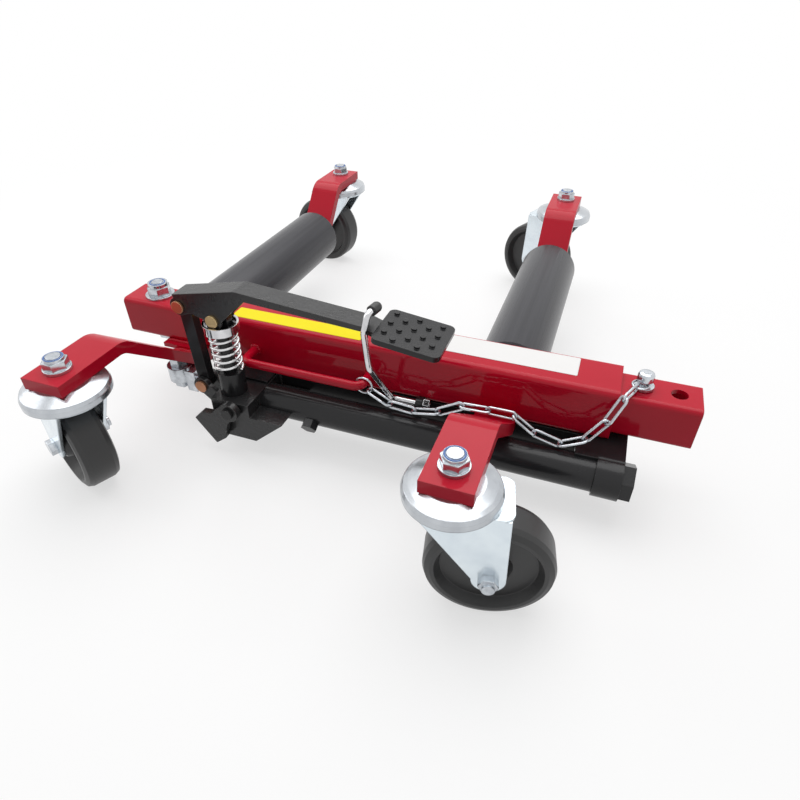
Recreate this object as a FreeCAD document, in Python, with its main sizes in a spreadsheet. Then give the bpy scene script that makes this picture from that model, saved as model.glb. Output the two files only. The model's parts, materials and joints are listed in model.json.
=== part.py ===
import FreeCAD, Part
import math
import os
import Sketcher

# Vehicle positioning jack: a telescopic beam with two roller arms, four swivel casters,
# a foot-pumped ram and a lock pin on a chain. Millimetres, +X along the beam, +Y along the
# rollers, +Z up. The origin lies on the floor under the middle of the tyre bay.

doc = FreeCAD.newDocument("positioning_jack")
Vector = FreeCAD.Vector

SIZES = {
    # layout of the beam, the rollers and the casters
    "bay_half": 170.5,
    "beam_front": 156.0,
    "beam_height": 90.0,
    "front_reach": 340.0,
    "rear_reach": 224.0,
    "run_gap": 0.06,
    "free_gap": 0.5,
    # telescopic tubes
    "inner_side": 42.0,
    "inner_wall": 4.0,
    "inner_round": 5.0,
    "inner_bore_round": 2.0,
    "inner_left": -82.5,
    "inner_right": 342.0,
    "sleeve_side": 52.0,
    "sleeve_wall": 4.2,
    "sleeve_round": 6.0,
    "sleeve_bore_round": 2.85,
    "sleeve_left": 45.5,
    "sleeve_right": 274.0,
    "lock_hole_rad": 7.25,
    "lock_inset": 18.4,
    "lock_pitch": 30.6,
    # tube bolt and end block
    "king_inset": 34.0,
    "king_rad": 6.0,
    "king_washer_rad": 15.5,
    "king_washer_thick": 2.5,
    "king_nut_rad": 12.4,
    "king_nut_tall": 9.0,
    "king_collar_rad": 10.4,
    "king_collar_tall": 4.0,
    "king_end_rise": 1.0,
    "king_head_tall": 8.0,
    "end_block_len": 60.0,
    # arms
    "bar_width": 39.0,
    "bar_thick": 11.0,
    "seat_top": 140.6,
    "seat_end": 20.3,
    "front_seat": 56.0,
    "toe_reach": 30.0,
    "rear_seat": 51.4,
    "knee_rise": 8.2,
    "plate_drop": 20.0,
    "bend_outer": 26.0,
    "bend_inner": 15.0,
    "bar_edge": 1.2,
    # rollers
    "roller_rad": 34.0,
    "roller_wall": 4.0,
    "roller_half": 127.0,
    "roller_height": -10.0,
    "roller_edge": 2.0,
    "shaft_rad": 12.5,
    "shaft_collar_rad": 18.0,
    "plate_gap": 1.6,
    "bush_len": 28.0,
    # casters
    "cup_rad": 36.5,
    "cup_crown": 23.0,
    "cup_drop": 8.0,
    "cup_lip": 5.0,
    "cup_round": 5.0,
    "sheet_thick": 3.0,
    "ball_rad": 3.2,
    "ball_circle": 25.0,
    "ball_count": 12.0,
    "crown_rad": 32.0,
    "trail": 31.4,
    "wheel_rad": 50.0,
    "wheel_half": 16.0,
    "wheel_round": 6.0,
    "wheel_rim": 9.0,
    "wheel_web_half": 8.0,
    "wheel_groove": 4.0,
    "hub_rad": 14.0,
    "hub_half": 17.0,
    "sleeve_bush_rad": 7.0,
    "leg_half": 18.0,
    "leg_thick": 3.2,
    "leg_front": 27.0,
    "leg_back": 42.0,
    "crown_reach": 44.0,
    "crown_corner": 8.0,
    "leg_eye_rad": 13.0,
    "axle_rad": 5.0,
    "axle_nut_rad": 7.8,
    "axle_nut_tall": 6.0,
    "axle_end": 3.0,
    "caster_bolt_rad": 6.0,
    "flange_rad": 11.6,
    "flange_tall": 3.0,
    "caster_nut_rad": 10.6,
    "caster_nut_tall": 7.0,
    "caster_collar_rad": 8.4,
    "caster_collar_tall": 2.5,
    "caster_bolt_end": 1.0,
    "caster_head_rad": 11.0,
    "caster_head_tall": 6.0,
    # ram
    "ram_front": 52.0,
    "ram_height": -45.25,
    "cylinder_rad": 16.2,
    "cylinder_bore": 12.5,
    "cylinder_left": 108.5,
    "cylinder_right": 268.0,
    "collar_rad": 19.2,
    "collar_len": 23.0,
    "cap_rad": 17.6,
    "cap_len": 10.0,
    "rod_rad": 8.0,
    "rod_start": 2.5,
    "eye_rad": 13.5,
    "eye_tall": 17.0,
    "eye_low": -43.5,
    "neck_len": 12.0,
    "neck_drop": 2.0,
    "eye_bolt_rad": 6.0,
    "eye_head_rad": 9.5,
    "eye_head_tall": 8.0,
    "eye_nut_top": -16.0,
    "saddle_left": -34.5,
    "saddle_front": 8.0,
    "piston_len": 22.0,
    "piston_rest": 256.0,
    "lug_left": 248.0,
    "lug_right": 291.0,
    "lug_low": -42.0,
    "lug_back": 12.0,
    "bearer_left": 109.0,
    "bearer_low": -56.0,
    "bearer_inset": 1.0,
    "plug_right": 163.5,
    "plug_rad": 8.4,
    "plug_tall": 7.0,
    "plug_tilt": 28.0,
    # pump
    "pump_front": 69.5,
    "pump_left": 81.0,
    "block_front": 90.0,
    "block_back": 27.0,
    "block_left": 66.5,
    "block_right": 144.5,
    "block_top": -29.0,
    "block_shoulder": -50.0,
    "block_step": -44.0,
    "block_low": -73.0,
    "block_low_left": 78.5,
    "block_low_right": 111.5,
    "bracket_left": 67.0,
    "bracket_right": 108.0,
    "bracket_front": 50.0,
    "barrel_rad": 13.5,
    "barrel_top": -3.5,
    "piston_rad": 7.0,
    "piston_stroke": 12.0,
    "barrel_floor": -45.0,
    "cap_wide": 17.0,
    "cap_low": -24.0,
    "cap_high": -15.0,
    "cap_wall": 2.2,
    "cap_base": 3.0,
    "tongue_wide": 22.0,
    "tongue_thick": 8.6,
    "tongue_rise": 17.0,
    "slot_half": 3.4,
    "pump_pin_rad": 4.0,
    "pump_pin_head": 6.2,
    "pump_pin_head_tall": 2.2,
    "fulcrum_left": 46.5,
    "base_left": 50.0,
    "fulcrum_height": 65.0,
    "lever_drop": 9.0,
    "base_height": -25.5,
    "link_wide": 13.0,
    "link_thick": 9.6,
    "ear_thick": 5.0,
    "ear_rad": 9.0,
    "lever_wide": 22.0,
    "lever_plate": 2.8,
    "lever_eye": 9.0,
    "lever_lobe": 9.4,
    "lever_peak_left": 110.5,
    "lever_peak": 26.0,
    "lever_bend": 20.0,
    "lever_crook": 104.5,
    "lever_crook_low": 5.0,
    "lever_tail": 60.0,
    "lever_tail_top": 15.5,
    "lever_depth": 8.5,
    "lever_tail_depth": 5.0,
    "lever_under": 44.0,
    "lever_dip_right": 12.0,
    "lever_dip_drop": 5.0,
    "lever_crest": 11.7,
    "pad_start": 72.5,
    "pad_low": 11.2,
    "pad_len": 59.0,
    "pad_wide": 52.0,
    "pad_thick": 5.0,
    "pad_fall": 7.5,
    "pad_corner": 6.0,
    "stud_rad": 2.5,
    "stud_tall": 1.8,
    "stud_step": 10.4,
    "stud_row": 15.6,
    "stud_inset": 7.3,
    # return spring
    "wire_rad": 1.5,
    "coil_rad": 13.0,
    "coil_turns": 5.5,
    # release pedal
    "release_left": 91.5,
    "release_height": -35.0,
    "release_gap": 3.0,
    "release_thick": 7.0,
    "release_hub": 10.0,
    "stem_rad": 5.0,
    "stem_head_rad": 6.0,
    "stem_head_tall": 3.0,
    # pedal hook
    "hook_rad": 3.0,
    "hook_left": 68.5,
    "hook_pivot_front": 33.5,
    "hook_pivot_height": -24.0,
    "hook_bush_left": 94.0,
    "hook_bush_len": 7.0,
    "hook_bush_rad": 6.0,
    "hook_nut_rad": 6.4,
    "hook_nut_len": 6.0,
    "hook_tip_rad": 4.6,
    "hook_tip_len": 8.0,
    # carry handle and its ring
    "handle_rad": 4.5,
    "handle_left": 84.0,
    "handle_right": 43.5,
    "handle_front": 51.0,
    "handle_height": -6.0,
    "handle_bend": 9.0,
    "ring_rad": 8.6,
    "ring_wire": 1.1,
    "ring_front": 44.0,
    # lock pin
    "pin_flange_rad": 9.0,
    "pin_flange_tall": 3.0,
    "pin_neck_rad": 5.0,
    "pin_neck_tall": 5.0,
    "pin_head_rad": 7.2,
    "pin_head_tall": 8.0,
    "pin_head_round": 3.0,
    "pin_ring_rad": 6.6,
    "pin_ring_wire": 1.0,
    "pin_eye_rad": 1.5,
    # chain links
    "link_wire": 1.3,
    "link_end": 3.9,
    "link_slack": 0.3,
}

# Heights given as a rise over the beam's axis.
FROM_BEAM = (
    "roller_height",
    "ram_height",
    "eye_low",
    "eye_nut_top",
    "lug_low",
    "bearer_low",
    "block_top",
    "block_shoulder",
    "block_step",
    "block_low",
    "barrel_top",
    "barrel_floor",
    "fulcrum_height",
    "base_height",
    "release_height",
    "hook_pivot_height",
    "handle_height",
)

# Heights given as a rise over the lever's fulcrum.
FROM_FULCRUM = ("cap_low", "cap_high", "lever_peak", "lever_crook_low", "lever_tail_top", "pad_low")

# Places given as a distance right of the left arm's middle plane.
FROM_LEFT_ARM = (
    "inner_left",
    "saddle_left",
    "sleeve_left",
    "cylinder_left",
    "rod_start",
    "pump_left",
    "fulcrum_left",
    "base_left",
    "block_left",
    "block_right",
    "block_low_left",
    "block_low_right",
    "bearer_left",
    "plug_right",
    "bracket_left",
    "bracket_right",
    "lever_peak_left",
    "lever_crook",
    "release_left",
    "handle_left",
)

# Free-swivel angle of each caster in degrees, measured from +X to the wheel's trailing side.
SWIVEL = {"left_front": 156.0, "right_front": 12.0, "left_rear": 172.0, "right_rear": 158.0}

# Joints of the hanging chain, chosen by hand: distance right of the bay's centre, distance in front
# of the beam's axis, and height above the floor.
CHAIN_ROUTE = (
    (49.2, 44.0, 77.3),
    (72.5, 50.0, 70.8),
    (97.0, 50.0, 69.0),
    (120.5, 50.0, 74.0),
    (143.0, 50.0, 87.5),
    (167.0, 50.0, 88.5),
    (191.0, 50.0, 88.6),
    (210.0, 49.0, 74.0),
    (234.0, 48.0, 67.0),
    (254.0, 44.0, 75.0),
    (268.0, 38.0, 94.0),
    (277.5, 30.5, 116.5),
    (286.6, 10.0, 117.0),
)

# Corners of the pedal hook past its pivot: distance right of its lower end, in front of its pivot and
# above the top of the lever's tail, and the bend radius at the pivot and each corner before the tip.
HOOK_ROUTE = (
    (-0.5, 52.5, -36.0),
    (-4.0, 52.5, -2.0),
    (-3.5, 45.0, 11.5),
    (-1.0, 31.0, 11.5),
)
HOOK_BENDS = (6.5, 12.0, 9.0, 8.0)

# Corners of the release pedal: distance right of its stem and above it.
RELEASE_FAN = (
    (-41.5, -16.0),
    (-31.5, -6.0),
    (-19.5, -5.0),
    (-3.5, 11.0),
    (6.5, 6.0),
    (4.5, -5.0),
    (-3.5, -15.0),
    (-8.5, -28.0),
    (-8.5, -34.0),
    (-21.5, -44.0),
)


class Size:
    """A value of the sheet together with the expression that yields it."""

    def __init__(self, value, text):
        self.value = value
        self.text = text

    def __add__(self, other):
        return combine(self, "+", other)

    def __radd__(self, other):
        return combine(other, "+", self)

    def __sub__(self, other):
        return combine(self, "-", other)

    def __rsub__(self, other):
        return combine(other, "-", self)

    def __mul__(self, other):
        return combine(self, "*", other)

    def __rmul__(self, other):
        return combine(other, "*", self)

    def __truediv__(self, other):
        return combine(self, "/", other)

    def __neg__(self):
        return combine(0.0, "-", self)


def as_size(item):
    """Wrap a plain number."""
    if isinstance(item, Size):
        return item
    return Size(float(item), "({:.6f})".format(float(item)))


def combine(left, sign, right):
    """Join two sizes with an arithmetic sign."""
    left = as_size(left)
    right = as_size(right)
    values = {
        "+": left.value + right.value,
        "-": left.value - right.value,
        "*": left.value * right.value,
        "/": left.value / right.value if right.value else 0.0,
    }
    return Size(values[sign], "({} {} {})".format(left.text, sign, right.text))


RIGHT_ANGLE = Size(90.0, "90 deg")


def tangent(angle, share=1.0):
    """Tangent of a share of an angle in degrees."""
    angle = angle * share
    return Size(math.tan(math.radians(angle.value)), "tan({})".format(angle.text))


def slope_of(rise, run):
    """Angle in degrees of a slope with a rise over a run."""
    ratio = rise / run
    return Size(math.degrees(math.atan(ratio.value)), "atan({})".format(ratio.text))


def fill_sheet():
    """Write the driving sizes into the sheet and return them by name, as heights and places."""
    sheet = doc.addObject("Spreadsheet::Sheet", "Sizes")
    for row, (name, value) in enumerate(SIZES.items(), start=1):
        sheet.set("A{}".format(row), name)
        sheet.set("B{}".format(row), str(value))
        sheet.setAlias("B{}".format(row), name)
    doc.recompute()
    sizes = {name: Size(float(sheet.get(name)), "Sizes.{}".format(name)) for name in SIZES}
    for name in FROM_BEAM:
        sizes[name] = sizes["beam_height"] + sizes[name]
    for name in FROM_FULCRUM:
        sizes[name] = sizes["fulcrum_height"] + sizes[name]
    for name in FROM_LEFT_ARM:
        sizes[name] = sizes["bay_half"] - sizes[name]
    return sizes


s = fill_sheet()
NODES = []


def bind(item, prop, amount):
    """Tie one property of an object to the sheet."""
    item.setExpression(prop, as_size(amount).text)


def place(item, spot, axis=None, angle=0.0):
    """Give an object its place, and a turn about an axis in degrees."""
    if axis is not None:
        item.Placement = FreeCAD.Placement(Vector(), FreeCAD.Rotation(Vector(*axis), angle))
    for letter, amount in zip("xyz", spot):
        bind(item, "Placement.Base.{}".format(letter), amount)
    return item


def node(item, name):
    """Keep an object as a named piece."""
    item.Label = name
    NODES.append(item)
    return item


HALF = 0.5

# Share of a round's radius that lies between its middle and the sharp corner.
ROUND_SHARE = 0.3

ALONG = {"x": ((0, 1, 0), 90.0), "y": ((1, 0, 0), -90.0), "z": (None, 0.0)}


def box(low, size):
    """Block from its low corner."""
    item = doc.addObject("Part::Box", "block")
    for prop, amount in zip(("Length", "Width", "Height"), size):
        bind(item, prop, amount)
    return place(item, low)


def rod(axis, start, radius, length):
    """Round bar along an axis, from its start."""
    item = doc.addObject("Part::Cylinder", "round_bar")
    bind(item, "Radius", radius)
    bind(item, "Height", length)
    return place(item, start, *ALONG[axis])


def hexagon(axis, start, radius, length):
    """Hexagonal bar along an axis; the radius reaches its corners."""
    item = doc.addObject("Part::Prism", "hex_bar")
    item.Polygon = 6
    bind(item, "Circumradius", radius)
    bind(item, "Height", length)
    return place(item, start, *ALONG[axis])


def fuse(*parts):
    """One solid of several."""
    item = doc.addObject("Part::MultiFuse", "joined")
    item.Shapes = list(parts)
    item.Refine = True
    return item


def cut(base, *tools):
    """A solid with others taken out of it."""
    item = doc.addObject("Part::Cut", "cut")
    item.Base = base
    item.Tool = tools[0] if len(tools) == 1 else fuse(*tools)
    return item


def group(*parts):
    """Several separate solids kept together."""
    item = doc.addObject("Part::Compound", "group")
    item.Links = list(parts)
    return item


def outline(owner, points, plane):
    """Closed outline of straight runs whose corners are tied to the sheet."""
    sketch = owner.newObject("Sketcher::SketchObject", "outline")
    role = plane.upper() + "_Plane"
    base = [item for item in owner.Origin.OriginFeatures if item.Role == role][0]
    sketch.AttachmentSupport = [(base, "")]
    sketch.MapMode = "FlatFace"
    corners = [(as_size(u), as_size(v)) for u, v in points]
    spots = [Vector(u.value, v.value, 0.0) for u, v in corners]
    count = len(spots)
    for index in range(count):
        sketch.addGeometry(Part.LineSegment(spots[index], spots[(index + 1) % count]))
    for index in range(count):
        sketch.addConstraint(Sketcher.Constraint("Coincident", index, 2, (index + 1) % count, 1))
    for index, corner in enumerate(corners):
        for kind, amount in zip(("DistanceX", "DistanceY"), corner):
            number = sketch.addConstraint(Sketcher.Constraint(kind, index, 1, amount.value))
            sketch.setExpression("Constraints[{}]".format(number), amount.text)
    return sketch


def new_body():
    """Empty body for sketched features."""
    return doc.addObject("PartDesign::Body", "body")


def pad(points, plane, length, start=0.0):
    """Body padded from an outline, starting at a distance along the outline's normal."""
    body = new_body()
    sketch = outline(body, points, plane)
    feature = body.newObject("PartDesign::Pad", "pad")
    feature.Profile = sketch
    bind(feature, "Length", length)
    normal = {"xy": ("z", 1.0), "xz": ("y", -1.0), "yz": ("x", 1.0)}[plane]
    bind(body, "Placement.Base.{}".format(normal[0]), as_size(start) * normal[1])
    sketch.Visibility = False
    doc.recompute()
    return body


def round_edges(body, test, radius):
    """Fillet the edges of a body's last feature that pass a test."""
    last = body.Tip
    names = []
    for number, edge in enumerate(last.Shape.Edges, start=1):
        if test(edge):
            names.append("Edge{}".format(number))
    feature = body.newObject("PartDesign::Fillet", "fillet")
    feature.Base = (last, names)
    bind(feature, "Radius", radius)
    doc.recompute()
    return body


def turned(points):
    """Body turned about the vertical axis from an outline of radii and heights."""
    body = new_body()
    sketch = outline(body, points, "xz")
    feature = body.newObject("PartDesign::Revolution", "turning")
    feature.Profile = sketch
    feature.ReferenceAxis = (sketch, ["V_Axis"])
    feature.Angle = 360.0
    sketch.Visibility = False
    doc.recompute()
    return body


def runs_along(edge, axis):
    """Tell whether a straight edge runs along an axis."""
    if edge.Curve.TypeId != "Part::GeomLine":
        return False
    return abs(edge.Curve.Direction.dot(Vector(*axis))) > 0.999


def midpoint(edge):
    """Middle of a straight edge."""
    first, last = (vertex.Point for vertex in edge.Vertexes)
    return (first + last) * 0.5


def corner_test(axis, corners):
    """Test for edges along an axis that stand on given corners of an outline."""
    wanted = [(as_size(u).value, as_size(v).value) for u, v in corners]
    tolerance = 0.01

    def check(edge):
        if not runs_along(edge, axis):
            return False
        middle = midpoint(edge)
        pair = [value for value, weight in zip(middle, axis) if not weight]
        return any(math.dist(pair, corner) < tolerance for corner in wanted)

    return check


# Shared places
beam_y = -s["beam_front"]
ram_y = beam_y - s["ram_front"]
pump_y = beam_y - s["pump_front"]
inner_top = s["beam_height"] + s["inner_side"] / 2
inner_low = s["beam_height"] - s["inner_side"] / 2
sleeve_low = s["beam_height"] - s["sleeve_side"] / 2
sleeve_face = beam_y - s["sleeve_side"] / 2
seat_low = s["seat_top"] - s["bar_thick"]
toe_low = sleeve_low - s["bar_thick"]
rear_face = s["roller_half"] + s["plate_gap"]
rod_tip = s["rod_start"]


def square(side):
    """Square outline about the beam's axis."""
    half = side / 2
    return (
        (beam_y - half, s["beam_height"] - half),
        (beam_y + half, s["beam_height"] - half),
        (beam_y + half, s["beam_height"] + half),
        (beam_y - half, s["beam_height"] + half),
    )


def square_bar(side, corner, left, right):
    """Square bar along X with rounded corners."""
    bar = pad(square(side), "yz", left + right, -left)
    return round_edges(bar, lambda edge: runs_along(edge, (1, 0, 0)), corner)


def square_tube(kind):
    """Square tube along X, the inner one or the sleeve, with rounded corners outside and in."""
    side = s[kind + "_side"]
    left = s[kind + "_left"]
    right = s[kind + "_right"]
    outer = square_bar(side, s[kind + "_round"], left, right)
    bore = square_bar(side - s[kind + "_wall"] * 2, s[kind + "_bore_round"], left, right)
    return cut(outer, bore)


def beam_tubes():
    """Inner tube with its lock and bolt holes, and the sleeve that slides on it."""
    low = inner_low - s["free_gap"]
    tall = s["inner_side"] + s["free_gap"] * 2
    first = s["sleeve_right"] + s["lock_inset"]
    holes = [
        rod("z", (first, beam_y, low), s["lock_hole_rad"], tall),
        rod("z", (first + s["lock_pitch"], beam_y, low), s["lock_hole_rad"], tall),
        rod("z", (s["king_inset"] - s["inner_left"], beam_y, low), s["king_rad"] + s["run_gap"], tall),
    ]
    node(cut(square_tube("inner"), *holes), "inner_tube")
    node(square_tube("sleeve"), "outer_sleeve")


def bevel_edges(base, amount, axis):
    """Chamfer the edges of a solid that run along an axis."""
    doc.recompute()
    item = doc.addObject("Part::Chamfer", "chamfer")
    item.Base = base
    numbers = [number for number, edge in enumerate(base.Shape.Edges, start=1) if runs_along(edge, axis)]
    item.Edges = [(number, amount.value, amount.value) for number in numbers]
    return item


def tube_end():
    """End block inside the inner tube, held by the tube bolt with its washer and nut."""
    half = s["inner_side"] / 2 - s["inner_wall"]
    axis_x = s["king_inset"] - s["inner_left"]
    block = box(
        (s["free_gap"] - s["inner_left"], beam_y - half, s["beam_height"] - half),
        (s["end_block_len"], half * 2, half * 2),
    )
    block = bevel_edges(block, s["inner_wall"] / 2, (1, 0, 0))
    hole = rod("z", (axis_x, beam_y, inner_low), s["king_rad"] + s["run_gap"], s["inner_side"])
    node(cut(block, hole), "end_block")
    nut_low = inner_top + s["king_washer_thick"]
    head_low = inner_low - s["king_head_tall"]
    nut_tall = s["king_nut_tall"] + s["king_collar_tall"]
    bolt_top = nut_low + nut_tall + s["king_end_rise"]
    bolt = fuse(
        rod("z", (axis_x, beam_y, head_low), s["king_rad"], bolt_top - head_low),
        hexagon("z", (axis_x, beam_y, head_low), s["king_nut_rad"], s["king_head_tall"]),
    )
    washer = cut(
        rod("z", (axis_x, beam_y, inner_top), s["king_washer_rad"], s["king_washer_thick"]),
        rod("z", (axis_x, beam_y, inner_top), s["king_rad"], s["king_washer_thick"]),
    )
    nut = cut(
        fuse(
            hexagon("z", (axis_x, beam_y, nut_low), s["king_nut_rad"], s["king_nut_tall"]),
            rod("z", (axis_x, beam_y, nut_low), s["king_collar_rad"], nut_tall),
        ),
        rod("z", (axis_x, beam_y, nut_low), s["king_rad"], nut_tall),
    )
    node(group(bolt, washer, nut), "tube_bolt")


def front_arm(side):
    """Bent bar from a front caster down to the underside of the beam."""
    thick = s["bar_thick"]
    end = -s["front_reach"] - s["seat_end"]
    bend = -s["front_reach"] + s["front_seat"]
    toe = beam_y - s["toe_reach"]
    miter = thick * tangent(slope_of(s["seat_top"] - sleeve_low, toe - bend), HALF)
    upper_bend = (bend, s["seat_top"])
    lower_bend = (bend - miter, seat_low)
    upper_toe = (toe, sleeve_low)
    lower_toe = (toe - miter, toe_low)
    points = (
        (end, s["seat_top"]),
        (end, seat_low),
        lower_bend,
        lower_toe,
        (beam_y, toe_low),
        (beam_y, sleeve_low),
        upper_toe,
        upper_bend,
    )
    bar = pad(points, "yz", s["bar_width"], side * s["bay_half"] - s["bar_width"] / 2)
    round_edges(bar, corner_test((1, 0, 0), (upper_bend, lower_toe)), s["bend_outer"])
    return round_edges(bar, corner_test((1, 0, 0), (lower_bend, upper_toe)), s["bend_inner"])


def rear_arm(side):
    """Bent bar from a rear caster down to the roller's shaft."""
    thick = s["bar_thick"]
    end = s["rear_reach"] + s["seat_end"]
    bend = s["rear_reach"] - s["rear_seat"]
    knee = s["roller_height"] + s["knee_rise"]
    plate_low = s["roller_height"] - s["plate_drop"]
    slope = slope_of(s["seat_top"] - knee, bend - rear_face)
    upper_bend = (bend, s["seat_top"])
    lower_bend = (bend + thick * tangent(slope, HALF), seat_low)
    front_knee = (rear_face, knee)
    back_knee = (rear_face + thick, knee - thick * tangent(RIGHT_ANGLE - slope, HALF))
    points = (
        (end, s["seat_top"]),
        upper_bend,
        front_knee,
        (rear_face, plate_low),
        (rear_face + thick, plate_low),
        back_knee,
        lower_bend,
        (end, seat_low),
    )
    bar = pad(points, "yz", s["bar_width"], side * s["bay_half"] - s["bar_width"] / 2)
    round_edges(bar, corner_test((1, 0, 0), (upper_bend, back_knee)), s["bend_outer"])
    bar = round_edges(bar, corner_test((1, 0, 0), (lower_bend, front_knee)), s["bend_inner"])
    spot = (side * s["bay_half"], rear_face, s["roller_height"])
    return cut(bar, rod("y", spot, s["shaft_rad"], thick))


def seat_hole(side, y):
    """Hole of a caster bolt through an arm's seat."""
    spot = (side * s["bay_half"], y, seat_low - s["free_gap"])
    return rod("z", spot, s["caster_bolt_rad"] + s["run_gap"], s["bar_thick"] + s["free_gap"] * 2)


def saddle_plate():
    """Plate between the inner tube and the left front bar, as thick as their gap."""
    front = beam_y - s["inner_side"] / 2 - s["saddle_front"]
    low = (-s["saddle_left"], front, sleeve_low)
    right = s["bar_width"] / 2 - s["bay_half"]
    return box(low, (right + s["saddle_left"], beam_y - front, inner_low - sleeve_low))


def eye_bolt_hole():
    """Upright hole of the ram's bolt through the left front bar."""
    return rod("z", (-rod_tip, ram_y, s["eye_low"]), s["eye_bolt_rad"], s["eye_nut_top"] - s["eye_low"])


def arm_set(name, side, tube_side):
    """Front and rear bars of one arm, its roller with two bushes, and the shaft between them."""
    x = side * s["bay_half"]
    bar = front_arm(side)
    tools = [seat_hole(side, -s["front_reach"])]
    if side < 0:
        bar = fuse(bar, saddle_plate())
        tools.append(eye_bolt_hole())
    node(cut(bar, *tools), name + "_front_arm")
    node(cut(rear_arm(side), seat_hole(side, s["rear_reach"])), name + "_rear_arm")
    back = beam_y + tube_side / 2
    spot = (x, back, s["roller_height"])
    collar_len = -s["roller_half"] - back - s["free_gap"]
    shaft = fuse(
        rod("y", spot, s["shaft_rad"], rear_face + s["bar_thick"] - back),
        rod("y", spot, s["shaft_collar_rad"], collar_len),
    )
    node(shaft, name + "_roller_shaft")
    half = s["roller_half"]
    bore = s["roller_rad"] - s["roller_wall"]
    edge = s["roller_edge"]
    shell = turned(
        (
            (bore, -half),
            (s["roller_rad"] - edge, -half),
            (s["roller_rad"], -half + edge),
            (s["roller_rad"], half - edge),
            (s["roller_rad"] - edge, half),
            (bore, half),
        )
    )
    node(place(shell, (x, 0.0, s["roller_height"]), (1, 0, 0), 90.0), name + "_roller")
    hole = s["shaft_rad"] + s["run_gap"]
    bushes = []
    for start in (-half, half - s["bush_len"]):
        bushes.append(
            cut(
                rod("y", (x, start, s["roller_height"]), bore, s["bush_len"]),
                rod("y", (x, start, s["roller_height"]), hole, s["bush_len"]),
            )
        )
    node(group(*bushes), name + "_roller_bushes")


def caster_spots(side):
    """Swivel axes of one arm's two casters."""
    return ((side * s["bay_half"], -s["front_reach"]), (side * s["bay_half"], s["rear_reach"]))


cup_low = seat_low - s["cup_drop"] - s["cup_lip"]
crown_top = cup_low - s["free_gap"]


def race_cup():
    """Pressed upper race of a caster with a rounded rim, turned about its swivel axis."""
    hole = s["caster_bolt_rad"] + s["run_gap"]
    thick = s["sheet_thick"]
    rim = seat_low - s["cup_drop"]
    soft = s["cup_round"]
    return turned(
        (
            (hole, seat_low - thick),
            (s["cup_crown"] - thick / 2, seat_low - thick),
            (s["cup_rad"] - thick, rim - thick / 2),
            (s["cup_rad"] - thick, cup_low),
            (s["cup_rad"], cup_low),
            (s["cup_rad"], rim),
            (s["cup_rad"] - soft * ROUND_SHARE, rim + soft * (1 - ROUND_SHARE)),
            (s["cup_rad"] - soft, rim + soft),
            (s["cup_crown"], seat_low),
            (hole, seat_low),
        )
    )


def swivel_balls():
    """Ring of bearing balls under the upper race."""
    balls = []
    height = crown_top + s["ball_rad"] + s["free_gap"]
    for index in range(int(s["ball_count"].value)):
        ball = doc.addObject("Part::Sphere", "ball")
        bind(ball, "Radius", s["ball_rad"])
        turn = "{} * {} / {}".format(index, "360", s["ball_count"].text)
        ball.setExpression("Placement.Base.x", "{} * cos({})".format(s["ball_circle"].text, turn))
        ball.setExpression("Placement.Base.y", "{} * sin({})".format(s["ball_circle"].text, turn))
        bind(ball, "Placement.Base.z", height)
        balls.append(ball)
    return balls


def caster_bolt(x, y):
    """Bolt of a caster with its flange nut on top of the arm."""
    low = crown_top - s["sheet_thick"] - s["free_gap"] - s["caster_head_tall"]
    hex_tall = s["flange_tall"] + s["caster_nut_tall"]
    nut_tall = hex_tall + s["caster_collar_tall"]
    seat = (x, y, s["seat_top"])
    bolt = fuse(
        rod("z", (x, y, low), s["caster_bolt_rad"], s["seat_top"] + nut_tall + s["caster_bolt_end"] - low),
        rod("z", (x, y, low), s["caster_head_rad"], s["caster_head_tall"]),
    )
    nut = cut(
        fuse(
            rod("z", seat, s["flange_rad"], s["flange_tall"]),
            hexagon("z", seat, s["caster_nut_rad"], hex_tall),
            rod("z", seat, s["caster_collar_rad"], nut_tall),
        ),
        rod("z", seat, s["caster_bolt_rad"], nut_tall),
    )
    return (bolt, nut)


def caster_tops(name, side):
    """Bolts, race cups and balls of the two casters on one arm."""
    bolts = []
    cups = []
    for x, y in caster_spots(side):
        bolts.extend(caster_bolt(x, y))
        cups.append(place(race_cup(), (x, y, 0.0)))
        cups.append(place(group(*swivel_balls()), (x, y, 0.0)))
    node(group(*bolts), name + "_caster_bolts")
    node(group(*cups), name + "_caster_races")


def fork():
    """Swivel fork of a caster: a crown disc with two legs down to the axle."""
    half = s["leg_half"]
    thick = s["sheet_thick"]
    crown_low = crown_top - thick
    hole = s["caster_bolt_rad"] + s["free_gap"]
    reach = half + s["leg_thick"]
    corners = ((s["crown_reach"], -reach), (s["crown_reach"], reach))
    wing = pad(((0.0, -reach),) + corners + ((0.0, reach),), "xy", thick, crown_low)
    round_edges(wing, corner_test((0, 0, 1), corners), s["crown_corner"])
    crown = cut(
        fuse(rod("z", (0.0, 0.0, crown_low), s["crown_rad"], thick), wing),
        rod("z", (0.0, 0.0, crown_low), hole, thick),
    )
    legs = []
    for start in (half + s["leg_thick"], -half):
        leg = pad(
            (
                (-s["leg_front"], crown_low + thick / 2),
                (s["trail"] - s["leg_eye_rad"], s["wheel_rad"]),
                (s["trail"] + s["leg_eye_rad"], s["wheel_rad"]),
                (s["leg_back"], crown_low + thick / 2),
            ),
            "xz",
            s["leg_thick"],
            -start,
        )
        eye = rod("y", (s["trail"], start - s["leg_thick"], s["wheel_rad"]), s["leg_eye_rad"], s["leg_thick"])
        legs.extend((leg, eye))
    axle_hole = rod("y", (s["trail"], -reach, s["wheel_rad"]), s["axle_rad"], reach * 2)
    return cut(fuse(crown, *legs), axle_hole)


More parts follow.
